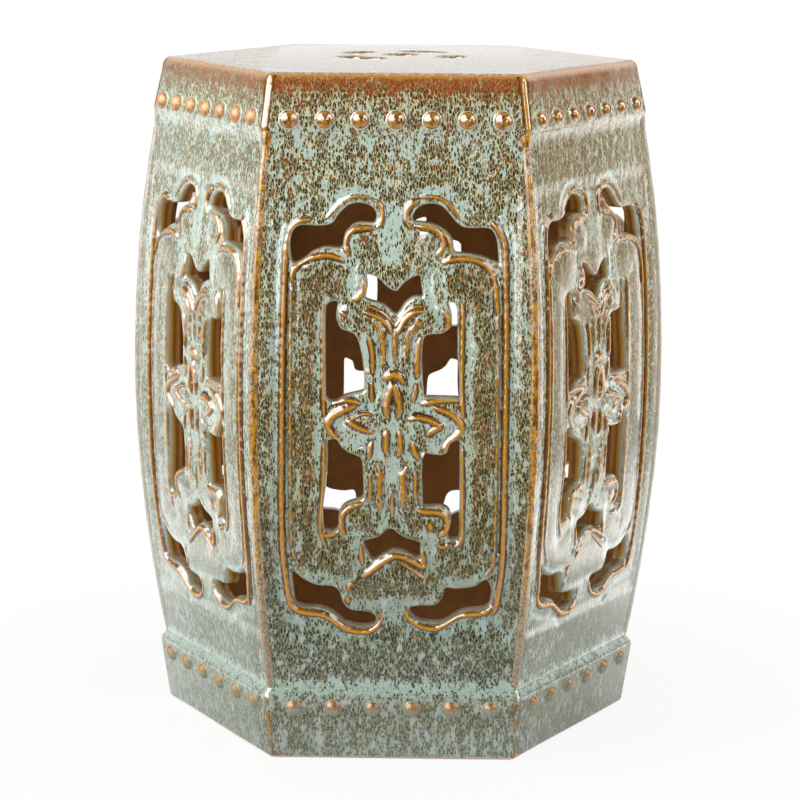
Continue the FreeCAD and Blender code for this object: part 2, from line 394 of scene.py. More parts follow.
# Tints of the specks. The first three are for the side faces. They are paled, partly as a painted sheen of
# the bright room (low down, of the floor) and partly by the glaze's own tint, greyer on the left and browner
# on the right
LOW_SPECK_WITH_SHEEN = paint(150, 154, 140)
LEFT_SPECK_WITH_SHEEN = paint(138, 136, 104)
RIGHT_SPECK_WITH_SHEEN = paint(156, 134, 92)
OLIVE_SPECK = paint(142, 124, 62)
RUST_SPECK = paint(148, 70, 10)

# Tints of the rolls and the knobs. The outer seam tint is a painted sheen: pale grey on the rolls seen
# edge-on at the outer seams
LOW_SEAM = paint(150, 112, 84)
OUTER_SHEEN_SEAM = paint(186, 190, 180)
LOW_KNOB_SPECK = paint(138, 126, 96)
LOW_KNOB_AMBER = paint(112, 74, 26)
HIGH_KNOB_AMBER = paint(170, 98, 30)

# The numbers per vertex that the running glaze follows, which the builders of the pieces store
MAPS = ("ridge", "glow", "foot", "rim", "depth", "pool", "brown", "ledge")


class RunningGlaze(Glaze):
    """The speckled glaze that runs down the stool, amber where it is thin."""

    def __init__(self, name, colours, swell_depth):
        super().__init__(name, colours)
        for key in MAPS:
            setattr(self, key, self.attribute(key))
        self.runs = self.noise(4.0, 2.6, detail=3.5, roughness=0.62, distortion=0.3)
        self.patches = self.noise(12.0, 1.4, detail=3.0, roughness=0.6)
        self.fine = self.noise(0.7, 1.8, roughness=0.6)
        self.mottle = self.noise(2.4, 2.4, detail=2.5, roughness=0.55)
        streaks = self.noise(2.6, 3.2, detail=3.0, roughness=0.65)
        self.run_height = self.height + streaks.step(0.32, 0.68, -4.5, 4.5)
        self.cover = self.speck_cover()
        self.teal, cream = self.ground_colours()
        ground = self.blend(self.cover.step(0.16, 0.50), self.teal, cream)
        ground = self.blend(self.fine.step(0.48, 0.62, 0.0, 0.6), ground, self.teal)
        colour = self.specked(ground)
        lip = self.height.step(466.0, 468.6) * self.brown
        colour = self.blend(lip * 0.9, colour, RIM_GOLD)
        colour = self.with_walls(self.with_ridges(colour))
        bare = (self.height + self.mottle.spread(-0.5, 0.5)).step(2.3, 1.7)
        colour = self.blend(bare, colour, colours["clay"])
        self.finish(colour, self.shine(bare), self.noise(7.0, 1.4, detail=1.5), swell_depth)

    def speck_cover(self):
        """How much of the surface the specks take, from 0 in smooth runs of teal to 0.9."""
        cover = self.run_height.ramp(COVER_BY_HEIGHT) + self.brown * 0.10
        cover += self.across.step(85.0, 130.0, 0.0, 0.16)
        cover += self.across.step(-85.0, -130.0, 0.0, -0.06)
        cover += self.patches.step(0.34, 0.66, -0.14, 0.10)
        beside = self.foot.step(3.0, 1.0, 0.0, 0.45) * self.glow
        cover -= self.math("MAXIMUM", self.pool, beside) * 0.62
        return cover - self.runs.step(0.50, 0.64, 0.0, 0.50)

    def ground_colours(self):
        """Smooth teal in the runs, and the cream net between crowded specks, both turned pale grey towards
        the outer edges of the side faces as a painted sheen.
        """
        clouds = self.noise(6.0, 1.6)
        teal = self.run_height.ramp(TEAL_BY_HEIGHT)
        teal = self.blend(clouds.step(0.50, 0.70, 0.0, 0.55), teal, CLOUD_TEAL)
        teal = self.blend(self.runs.step(0.54, 0.68, 0.0, 0.5), teal, RUN_TEAL)
        teal = self.blend(self.brown * 0.5, teal, BROWN_TEAL)
        cream = self.run_height.ramp(CREAM_BY_HEIGHT)
        cream = self.blend(self.brown * 0.9, cream, BROWN_CREAM)
        right = self.across.step(84.0, 100.0, 0.0, 0.45) * self.across.step(165.0, 125.0)
        right *= self.height.step(130.0, 300.0)
        teal = self.blend(right, teal, OLIVE_TEAL)
        cream = self.blend(right, cream, OLIVE_CREAM)
        left = self.across.step(-84.0, -100.0, 0.0, 0.35) * self.height.step(452.0, 430.0)
        cream = self.blend(left, cream, COOL_CREAM)
        # Painted sheen: the ground pales towards the outer edges of the side faces, where they turn away from
        # the camera
        outer = abs(self.across).step(136.0, 168.0, 0.0, 0.5)
        return self.blend(outer, teal, OUTER_SHEEN_TEAL), self.blend(outer, cream, OUTER_SHEEN_CREAM)

    def specked(self, ground):
        """Each cell of a wandering, drawn-out pattern holds a speck, of its own size and brown."""
        place = self.wandering(1.6, 2.5)
        distance, picks = self.cells(place)
        size = picks[0] * 0.22 + (self.cover * 0.62 + 0.14)
        gap = (self.cell_edges(place) - self.cover * 0.05).step(-0.03, 0.09)
        large = (size - distance).step(-0.10, 0.10) * gap
        distance, small_picks = self.cells(self.wandering(1.0, 2.4))
        size = small_picks[0] * 0.30 + (self.cover * 0.50 + 0.02)
        self.dark = self.math("MAXIMUM", large, (size - distance).step(-0.12, 0.10, 0.0, 0.8))

        # Partly painted sheen: specks on the side faces, and more so towards their outer edges, take paler
        # tints; the left and right tints also differ in the glaze itself
        from_middle = abs(self.across)
        side_tint_and_sheen = from_middle.step(84.0, 104.0, 0.0, 0.38) + from_middle.step(132.0, 168.0, 0.0, 0.34)
        side_speck_with_sheen = self.blend(self.across.step(-20.0, 20.0), LEFT_SPECK_WITH_SHEEN, RIGHT_SPECK_WITH_SHEEN)
        side_speck_with_sheen = self.blend(self.height.step(130.0, 300.0), LOW_SPECK_WITH_SHEEN, side_speck_with_sheen)
        speck = self.blend(side_tint_and_sheen, self.run_height.ramp(SPECK_BY_HEIGHT), side_speck_with_sheen)
        olive = self.blend(0.5, speck, OLIVE_SPECK)
        speck = self.blend(picks[1].step(0.45, 1.0, 0.0, 0.8), speck, olive)
        speck = self.blend(self.fine.step(0.50, 0.66, 0.0, 0.5), speck, olive)

        chance = picks[2] * 0.45 + self.noise(5.0, 1.5, roughness=0.55).spread(0.0, 0.55)
        rusty = (chance - (1.0 - self.run_height.ramp(RUST_BY_HEIGHT))).step(-0.06, 0.08, 0.0, 0.8)
        rusty *= self.cover.step(0.25, 0.50)
        speck = self.blend(rusty, speck, RUST_SPECK)
        return self.blend(self.dark, self.blend(rusty * 0.15, ground, RUST_GROUND), speck)

    def with_ridges(self, colour):
        """Thin amber glaze on ridges, golden on the crest, with a dark line beside them."""
        mottle, colours = self.mottle, self.colours
        crest = (self.ridge + mottle.spread(0.12, -0.12)).step(0.80, 0.05)
        amber = self.blend(crest, colours["deep_amber"], colours["amber"])
        amber = self.blend(mottle.step(0.50, 0.72, 0.0, 0.6), amber, colours["deep_amber"])
        edge = (self.ridge + mottle.spread(-0.12, 0.12)).step(1.02, 0.80)
        patchy = (1.0 - self.glow) * mottle.step(0.34, 0.66, -0.55, 0.55)
        thin = (edge * (self.glow + patchy)).step(0.15, 0.6)
        line = (self.foot + mottle.spread(-0.15, 0.2)).step(0.80, 0.40)
        colour = self.blend(line * self.glow, colour, colours["line"])
        return self.blend(thin, colour, amber)

    def with_walls(self, colour):
        """Pale edges of the openings, amber walls that turn brown, and the brown hollow."""
        colours = self.colours
        pale = (self.rim + self.mottle.spread(-0.5, 0.5)).step(1.8, 0.3, 0.0, 0.7)
        colour = self.blend(pale, colour, self.blend(0.15, self.teal, colours["amber"]))
        wall = self.blend(self.depth.step(1.0, 6.5), colours["amber"], colours["deep_amber"])
        wall = self.blend(self.depth.step(4.5, 10.0), wall, colours["inside"])
        on_ledge = self.blend(self.dark.step(0.3, 0.7), self.teal, colours["deep_amber"])
        wall = self.blend(self.ledge.step(0.3, 0.8, 0.0, 0.55), wall, on_ledge)
        inner = self.blend(self.patches.spread(0.0, 0.30), colours["inside"], colours["line"])
        wall = self.blend(self.depth.step(10.0, 11.8), wall, inner)
        return self.blend(self.depth.step(0.05, 0.9), colour, wall)

    def shine(self, bare):
        """Roughness: wet on the front, duller on the other sides, in the walls and on bare clay."""
        roughness = self.patches.spread(0.06, 0.12) + self.across.step(-82.0, -96.0, 0.0, 0.10)
        roughness += self.across.step(82.0, 96.0, 0.0, 0.04)
        roughness += bare * 0.65 + self.depth.step(0.3, 1.5, 0.0, 0.22)
        return roughness + self.depth.step(10.0, 11.8) * 0.3


def seam_glaze(name, colours):
    """Orange amber glaze on the seam rolls, crackled with pale glaze."""
    glaze = Glaze(name, colours)
    mottle = glaze.noise(2.6, 3.0, detail=3.0, roughness=0.6)
    crackle = glaze.noise(1.3, 1.5, roughness=0.6, distortion=0.4)
    patches = glaze.noise(11.0, 2.6)
    teal = glaze.height.ramp(TEAL_BY_HEIGHT)
    amber = glaze.blend(mottle.step(0.36, 0.62), colours["deep_amber"], colours["amber"])
    level = crackle + patches.step(0.35, 0.65, -0.12, 0.10) + glaze.height.step(160.0, 60.0, 0.0, 0.06)
    colour = glaze.blend(level.step(0.57, 0.66, 0.0, 0.5), amber, teal)
    colour = glaze.blend(crackle.step(0.44, 0.36, 0.0, 0.8), colour, colours["deep_amber"])
    low = (glaze.height + patches.spread(-35.0, 35.0)).step(190.0, 90.0, 0.0, 0.7)
    colour = glaze.blend(low, colour, glaze.blend(crackle.step(0.44, 0.56), LOW_SEAM, teal))
    # Painted sheen: the rolls on the outer seams, seen edge-on, turn pale grey
    outer = abs(glaze.across).step(150.0, 172.0, 0.0, 0.65)
    return glaze.finish(glaze.blend(outer, colour, OUTER_SHEEN_SEAM), 0.13, mottle, SEAM_SWELL)


def knob_glaze(name, colours, lower):
    """Amber on the crown of a knob, teal gathering round its foot."""
    glaze = Glaze(name, colours)
    mottle = glaze.noise(2.4, 1.4, detail=3.0, roughness=0.6)
    specks = glaze.noise(1.2, 1.4, roughness=0.6)
    teal = glaze.height.ramp(TEAL_BY_HEIGHT)
    amber = glaze.blend(mottle.step(0.38, 0.60), colours["deep_amber"], colours["amber"])
    shown = (glaze.attribute("cap") + mottle.spread(-0.12, 0.12)).step(0.12, 0.34 if lower else 0.26)
    if lower:
        teal = glaze.blend(specks.step(0.46, 0.58), teal, LOW_KNOB_SPECK)
        amber = glaze.blend(0.6, amber, LOW_KNOB_AMBER)
        shown *= (glaze.attribute("top") + mottle.spread(-0.3, 0.3)).step(-0.15, 0.45)
    else:
        amber = glaze.blend(mottle.step(0.46, 0.62, 0.0, 0.6), amber, HIGH_KNOB_AMBER)
    colour = glaze.blend(shown, teal, amber)
    colour = glaze.blend(specks.step(0.42, 0.34, 0.0, 0.5 if lower else 0.65), colour, colours["line"])
    glaze.feed(glaze.shader.inputs["Specular IOR Level"], 0.35 if lower else 0.8)
    roughness = glaze.across.step(-80.0, -90.0, 0.32 if lower else 0.09, 0.55)
    return glaze.finish(colour, roughness, mottle, KNOB_SWELL)


# Meshes


def add_piece(name, points, faces):
    """A new object from points in millimetres."""
    mesh = bpy.data.meshes.new(name)
    mesh.from_pydata((np.asarray(points) / METRE).tolist(), [], faces)
    mesh.validate()
    piece = bpy.data.objects.new(name, mesh)
    bpy.context.scene.collection.objects.link(piece)
    return piece


def choose(*pieces):
    """Select only these pieces, and make the first one active."""
    bpy.ops.object.select_all(action="DESELECT")
    for piece in pieces:
        piece.select_set(True)
    bpy.context.view_layer.objects.active = pieces[0]


def close_up(piece):
    """Merge doubles, fill open ends and face everything outwards."""
    choose(piece)
    bpy.ops.object.mode_set(mode="EDIT")
    bpy.ops.mesh.select_all(action="SELECT")
    bpy.ops.mesh.remove_doubles(threshold=2e-6)
    bpy.ops.mesh.fill_holes(sides=0)
    bpy.ops.mesh.select_all(action="SELECT")
    bpy.ops.mesh.normals_make_consistent(inside=False)
    bpy.ops.object.mode_set(mode="OBJECT")


def smooth_by_angle(piece, degrees=50.0):
    choose(piece)
    bpy.ops.object.shade_smooth_by_angle(angle=math.radians(degrees))


def wrapped_grid(name, places):
    """A grid primitive, its vertices moved to a table of places (rows, columns) and closed up."""
    rows, columns = places.shape[:2]
    bpy.ops.mesh.primitive_grid_add(x_subdivisions=columns - 1, y_subdivisions=rows - 1, size=1.0)
    piece = bpy.context.active_object
    piece.name = name
    piece.data.name = name
    if len(piece.data.vertices) != rows * columns:
        raise RuntimeError("the grid has another number of vertices than its table of places")
    piece.data.vertices.foreach_set("co", (places / METRE).ravel())
    piece.data.update()
    close_up(piece)
    smooth_by_angle(piece)
    return piece


def coordinates(piece):
    """Vertex places of a piece in millimetres."""
    found = np.zeros(len(piece.data.vertices) * 3)
    piece.data.vertices.foreach_get("co", found)
    return found.reshape(-1, 3) * METRE


def store(piece, **values):
    """Keep one number per vertex for the glaze, under each name."""
    count = len(piece.data.vertices)
    for name, value in values.items():
        layer = piece.data.attributes.new(name, "FLOAT", "POINT")
        numbers = np.broadcast_to(np.asarray(value, np.float32), (count,))
        layer.data.foreach_set("value", np.ascontiguousarray(numbers))


def declare(piece, node, material):
    """Give a piece its material, hang it under the root empty, and hide the CAD node that it stands for."""
    piece.data.materials.clear()
    piece.data.materials.append(material)
    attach(piece, "root")
    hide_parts(node)


def copy_round(piece, stem, names, node_stem, material):
    """Copy the front piece to the other five places and declare all six."""
    for index, name in enumerate(names):
        if index == 0:
            copy = piece
        else:
            copy = piece.copy()
            copy.data = piece.data.copy()
            bpy.context.scene.collection.objects.link(copy)
            copy.data.transform(Matrix.Rotation(SIXTH * index, 4, "Z"))
        copy.name = stem + "_" + name
        copy.data.name = copy.name
        declare(copy, node_stem + "_" + name, material)


# Curves

# Straight parts into which a curve's stretch between two given points is first cut
CURVE_PARTS = 12


def curve_through(points, spacing, closed=False):
    """Evenly spaced places on a smooth curve through given points."""
    points = np.asarray(points, float)
    if closed:
        padded = np.concatenate([points[-1:], points, points[:2]])
    else:
        padded = np.concatenate([2 * points[:1] - points[1:2], points, 2 * points[-1:] - points[-2:-1]])
    fine = []
    shares = np.linspace(0.0, 1.0, CURVE_PARTS, endpoint=False)[:, None]
    for index in range(len(padded) - 3):
        a, b, c, d = padded[index:index + 4]
        fine.append(0.5 * (2 * b + (c - a) * shares + (2 * a - 5 * b + 4 * c - d) * shares ** 2
                           + (3 * b - a - 3 * c + d) * shares ** 3))
    fine.append(points[:1] if closed else points[-1:])
    fine = np.concatenate(fine)
    lengths = np.concatenate([[0.0], np.cumsum(np.hypot(*np.diff(fine, axis=0).T))])
    parts = max(3, int(round(lengths[-1] / spacing)))
    wanted = np.linspace(0.0, lengths[-1], parts + 1)
    if closed:
        wanted = wanted[:-1]
    return np.stack([np.interp(wanted, lengths, fine[:, 0]), np.interp(wanted, lengths, fine[:, 1])], 1)


def normals_of(line, closed=False):
    """Left-hand unit normals along a line."""
    if closed:
        along = np.roll(line, -1, axis=0) - np.roll(line, 1, axis=0)
    else:
        along = np.gradient(line, axis=0)
    left = np.stack([-along[:, 1], along[:, 0]], 1)
    return left / np.linalg.norm(left, axis=1)[:, None]


def left_handed(loop):
    """The loop, running anticlockwise."""
    following = np.roll(loop, -1, axis=0)
    area = 0.5 * np.sum(loop[:, 0] * following[:, 1] - following[:, 0] * loop[:, 1])
    return loop if area > 0.0 else loop[::-1]


def gaps_to(points, line, closed=False):
    """Distance of each point to a line, whether it lies to its left, and how many steps along it."""
    start = line if closed else line[:-1]
    end = np.roll(line, -1, axis=0) if closed else line[1:]
    along = end - start
    size = np.sum(along ** 2, axis=1)
    away = points[:, None, :] - start[None, :, :]
    share = np.clip(np.sum(away * along[None], axis=2) / size[None], 0.0, 1.0)
    rest = away - share[:, :, None] * along[None]
    distance = np.sqrt(np.sum(rest ** 2, axis=2))
    nearest = np.argmin(distance, axis=1)
    rows = np.arange(len(points))
    side = along[nearest, 0] * away[rows, nearest, 1] - along[nearest, 1] * away[rows, nearest, 0]
    return distance[rows, nearest], side > 0.0, nearest + share[rows, nearest]


def near_box(points, line, reach):
    """Which points lie within reach of the line's box."""
    low = line.min(axis=0) - reach
    high = line.max(axis=0) + reach
    return np.nonzero(np.all((points > low) & (points < high), axis=1))[0]


def gap_to_loops(points, loops, reach):
    """Distance to the nearest loop, cut off at reach."""
    found = np.full(len(points), reach)
    for loop in loops:
        chosen = near_box(points, loop, reach)
        for part in np.array_split(chosen, max(1, len(chosen) // 4000)):
            distance, _, _ = gaps_to(points[part], loop, closed=True)
            found[part] = np.minimum(found[part], distance)
    return found


def inside_loop(points, loop):
    """Which points lie inside a loop."""
    inside = np.zeros(len(points), bool)
    chosen = near_box(points, loop, 0.0)
    x, y = points[chosen].T
    count = np.zeros(len(chosen), int)
    for (ax, ay), (bx, by) in zip(loop, np.roll(loop, -1, axis=0)):
        crosses = (ay > y) != (by > y)
        if ay != by:
            count += crosses & (x < ax + (y - ay) * (bx - ax) / (by - ay))
    inside[chosen] = count % 2 == 1
    return inside


def outside(points, loops):
    """Which points lie in none of the loops."""
    found = np.ones(len(points), bool)
    for loop in loops:
        found &= ~inside_loop(points, loop)
    return found


class Scatter:
    """Collects points that keep their distance from each other, a millimetre at most."""

    def __init__(self):
        self.cells = {}
        self.kept = []

    def add(self, points, gap):
        """Keep the points that stand clear of all the kept ones by the gap."""
        for x, y in points:
            column, row = int(x // 1.0), int(y // 1.0)
            around = [(i, j) for i in (column - 1, column, column + 1) for j in (row - 1, row, row + 1)]
            others = (place for cell in around for place in self.cells.get(cell, ()))
            if all((other_x - x) ** 2 + (other_y - y) ** 2 >= gap * gap for other_x, other_y in others):
                self.cells.setdefault((column, row), []).append((x, y))
                self.kept.append((x, y))


def hexagonal_spread(low, high, spacing):
    """Points in rows, each row shifted by half a step."""
    rows = np.arange(low[1], high[1], spacing * 0.866)
    points = []
    for index, level in enumerate(rows):
        start = low[0] + (spacing / 2.0 if index % 2 else 0.0)
        columns = np.arange(start, high[0], spacing)
        points.append(np.stack([columns, np.full(len(columns), level)], 1))
    return np.concatenate(points)


def sheet_of(edge, holes, points):
    """Triangles over the points, bounded by the edge loop and the holes' loops."""
    loops = [edge, *holes]
    places = np.concatenate([*loops, points])
    lines = []
    start = 0
    for loop in loops:
        count = len(loop)
        lines += [(start + i, start + (i + 1) % count) for i in range(count)]
        start += count
    found = delaunay_2d_cdt([Vector(p) for p in places.tolist()], lines, [], 0, 1e-6, False)
    if len(found[0]) != len(places):
        raise RuntimeError("two outlines of a pierced slab cross")
    triangles = np.array(found[2])
    middles = places[triangles].mean(axis=1)
    return places, triangles[inside_loop(middles, edge) & outside(middles, holes)]


def pierced_slab(name, edge, holes, front_points, back_points, front, edge_rows, back, wall_shares):
    """A closed slab: front sheet, its outer edge, the holes' walls and a plain back sheet.

    front(places), back(places, edge_count) and each of edge_rows(places) give points in space.
    Also returns the flat place and the share of the depth of every vertex.
    """
    places, triangles = sheet_of(edge, holes, front_points)
    back_places, back_triangles = sheet_of(edge, holes, back_points)
    front_set = front(places)
    back_set = back(back_places, len(edge))
    sets, flat, shares = [], [], []
    faces = triangles.tolist()

    def add_row(points, flat_places, share):
        """Store vertices, and return the number of the first one."""
        first = sum(len(row) for row in sets)
        sets.append(points)
        flat.append(flat_places)
        shares.append(np.full(len(points), share))
        return first

    add_row(front_set, places, 0.0)
    back_start = add_row(back_set, back_places, 1.0)
    faces += [(a + back_start, c + back_start, b + back_start) for a, b, c in back_triangles.tolist()]

    def add_walls(first, count, rows, outwards):
        """Rows of quads from the front loop over the given rows to the back loop."""
        starts = [first, *rows, back_start + first]
        for upper, lower in zip(starts, starts[1:]):
            for i in range(count):
                following = (i + 1) % count
                quad = (upper + i, upper + following, lower + following, lower + i)
                faces.append(quad[::-1] if outwards else quad)

    edge_starts = [add_row(row(edge), edge, 0.0) for row in edge_rows]
    add_walls(0, len(edge), edge_starts, True)
    start = len(edge)
    for hole in holes:
        count = len(hole)
        near = front_set[start:start + count]
        far = back_set[start:start + count]
        rows = [add_row(near + (far - near) * share, hole, share) for share in wall_shares]
        add_walls(start, count, rows, False)
        start += count
    return add_piece(name, np.concatenate(sets), faces), np.concatenate(flat), np.concatenate(shares)


# The ornament of a side, in millimetres across from its middle line and up from the floor

TOP_LEFT_COMMA = (
    (-69.6, 358), (-68.8, 348.7), (-67.3, 345.7), (-64.6, 346), (-59.9, 348.7), (-54.6, 352.9),
    (-50.4, 355), (-45.7, 356.3), (-39.9, 355.8), (-35.7, 355.8), (-34.4, 357.6), (-34.1, 361.3),
    (-33.1, 365.5), (-30.4, 368.7), (-27.3, 371.3), (-23.1, 372.6), (-18.8, 372.4), (-14.6, 372.4),
    (-13.1, 373.9), (-12.5, 377.1), (-13.4, 380.3), (-15.7, 382.9), (-19.9, 384.7), (-25.2, 385.3),
    (-30.4, 383.9), (-34.6, 380.8), (-38.3, 376.6), (-40.4, 373.1), (-43.6, 371), (-49.4, 370.1),
    (-55.7, 370.3), (-62, 370.3), (-65.7, 368.9), (-68.1, 365.5),
)
TOP_RIGHT_COMMA = (
    (11.2, 375), (12.2, 378.7), (14.8, 382.2), (19.1, 384.5), (24.3, 385.1), (29.1, 384.2), (33.3, 381.3),
    (36.9, 377.1), (40.1, 373.4), (43.3, 370.8), (47.5, 369.5), (54.8, 369.5), (60.6, 369.4), (64.3, 367.6),
    (66.6, 363.4), (67.7, 357.1), (68.5, 348.7), (68.3, 346.3), (64.8, 347.9), (59.1, 350.1), (51.7, 351.8),
    (44.3, 352.7), (40.1, 353.1), (38.8, 355.5), (38, 360.8), (35.9, 364.7), (32.7, 367.8), (28.5, 370.3),
    (23.3, 372.1), (18, 372.9), (13.3, 373.2),
)
BAT = (
    (-18.5, 338.2), (-13.6, 337.3), (-9.4, 334.8), (-5.7, 330.8), (-1.5, 328.1), (1.7, 327.8), (4.8, 331.5),
    (9.6, 335.4), (14.3, 337.6), (16.7, 337.6), (17.6, 331.8), (18.3, 324.3), (14.8, 324.3), (10.6, 322.9),
    (6.9, 319.7), (3.8, 315), (1.4, 312.4), (-0.9, 313.1), (-4.6, 316.6), (-9.4, 319.2), (-14.6, 320.5),
    (-19.2, 322.4), (-18.8, 325.5), (-18, 330.3), (-18.5, 334.5),
)
UPPER_LEFT_WINDOW = (
    (-45.7, 315), (-44.6, 318.4), (-42, 320.1), (-37.8, 320.3), (-38.3, 315.5), (-38.7, 310.8),
    (-37.3, 305.5), (-34.6, 301.8), (-29.4, 300), (-26.2, 298), (-24.1, 294.5), (-22, 286.6),
    (-20.9, 280.3), (-19.9, 270.8), (-19.9, 263.4), (-20.4, 260.8), (-25.2, 259.2), (-29.4, 258.2),
    (-33.3, 256.9), (-36.7, 254.5), (-39.9, 253.2), (-43, 253.4), (-44.6, 255.5), (-45.5, 258.2),
    (-45.6, 275), (-45.7, 295),
)
UPPER_RIGHT_WINDOW = (
    (35.7, 320), (39.6, 320), (40.6, 318.2), (41.4, 315), (41.7, 304.5), (42, 290), (42, 285.5),
    (43.3, 270.8), (43.5, 260.3), (43.3, 256.3), (40.6, 256.6), (29.6, 256.8), (20.6, 257.1), (20.1, 258.7),
    (19, 269.7), (18.5, 284.5), (19.3, 295), (20.6, 297.6), (24.3, 299), (30.1, 299.2), (33.8, 300.8),
    (36.9, 303.4), (38, 305.5), (37.8, 310.8), (36.9, 315),
)
LOWER_LEFT_WINDOW = (
    (-44.1, 225.5), (-42.5, 227.1), (-38.8, 227.6), (-36.7, 225), (-34.6, 221.8), (-30.4, 218.7),
    (-25.2, 216.6), (-22, 214.5), (-20.9, 210.8), (-20.2, 200.3), (-20, 193), (-20.4, 188.3), (-22, 186.7),
    (-26.2, 185.1), (-30.4, 183.5), (-33.6, 181.4), (-35.7, 178.3), (-36.7, 175.1), (-36.7, 167.7),
    (-38.3, 165.1), (-41.5, 163.8), (-45.2, 164.4), (-46.7, 166.7), (-47.3, 172), (-47.3, 179.3),
    (-46.4, 187.7), (-45.4, 194), (-44.3, 205.5), (-44.1, 216),
)
LOWER_RIGHT_WINDOW = (
    (18.8, 218.7), (21.7, 218.4), (26.4, 217.8), (31.7, 217.3), (35.4, 218.7), (36.4, 221.3), (37.5, 225),
    (40.1, 226.6), (42.7, 227.6), (44, 225.5), (44.1, 210.8), (44.3, 190), (44.3, 175), (44.3, 164.6),
    (43.8, 160.4), (41.2, 159), (38, 159.3), (36.9, 162.5), (38, 166.7), (38.8, 172), (38.3, 176.7),
    (36.9, 179.8), (33.8, 181.7), (27.5, 181.9), (20.6, 181.9), (19.6, 184.6), (19.6, 193), (19.1, 200.3),
    (19.3, 210.8), (18.5, 215),
)
ROOF = (
    (-2.5, 165.8), (-4.6, 165.1), (-9.4, 160.4), (-14.6, 158.6), (-18.8, 157.5), (-19.7, 156.2),
    (-19.4, 153), (-17.8, 149.8), (-14.6, 144.6), (-12, 144.4), (-8.3, 146.7), (-3.1, 149.6), (2.2, 150.7),
    (7.5, 149.6), (12.7, 147.2), (17.5, 145.4), (18, 150.9), (18.2, 155.9), (14.8, 157.7), (9.6, 159.1),
    (4.3, 161.9), (0.1, 165.4),
)
BOTTOM_LEFT_COMMA = (
    (-68.1, 133.5), (-66.7, 134.9), (-64.6, 132.5), (-59.9, 129.3), (-55.2, 126.7), (-50.4, 125.1),
    (-44.1, 124.8), (-39.9, 124.1), (-36.7, 121.4), (-35.2, 117.2), (-33.6, 112.5), (-30.4, 108.8),
    (-26.2, 107.2), (-19.9, 106.7), (-14.6, 105.6), (-12, 103), (-11.3, 99.8), (-13.1, 97.2), (-18.8, 95.8),
    (-25.2, 96.4), (-31.5, 98.3), (-35.7, 101.4), (-39.9, 105.1), (-45.2, 107.7), (-50.4, 109.1),
    (-59.9, 109.8), (-64.6, 111.4), (-66.2, 115.1), (-67.3, 124.6),
)
BOTTOM_RIGHT_COMMA = (
    (11.5, 109.3), (13.3, 110.4), (18, 111.2), (24.3, 111.2), (28.5, 111.9), (31.7, 114.3), (33.8, 117.7),
    (34.6, 121.9), (36.4, 124.3), (43.3, 123.7), (50.6, 124.4), (55.9, 125.8), (60.1, 128.8), (63.3, 130.1),
    (65.4, 127.2), (66.6, 121.4), (65.9, 115.1), (64.3, 111.4), (59.1, 109.3), (50.6, 108.6), (44.3, 106.2),
    (39.1, 102.5), (33.8, 99.8), (27.5, 99.1), (21.2, 99.8), (15.9, 101.9), (12.7, 105.1),
)
OPENINGS = (
    TOP_LEFT_COMMA, TOP_RIGHT_COMMA, BAT, UPPER_LEFT_WINDOW, UPPER_RIGHT_WINDOW,
    LOWER_LEFT_WINDOW, LOWER_RIGHT_WINDOW, ROOF, BOTTOM_LEFT_COMMA, BOTTOM_RIGHT_COMMA,
)

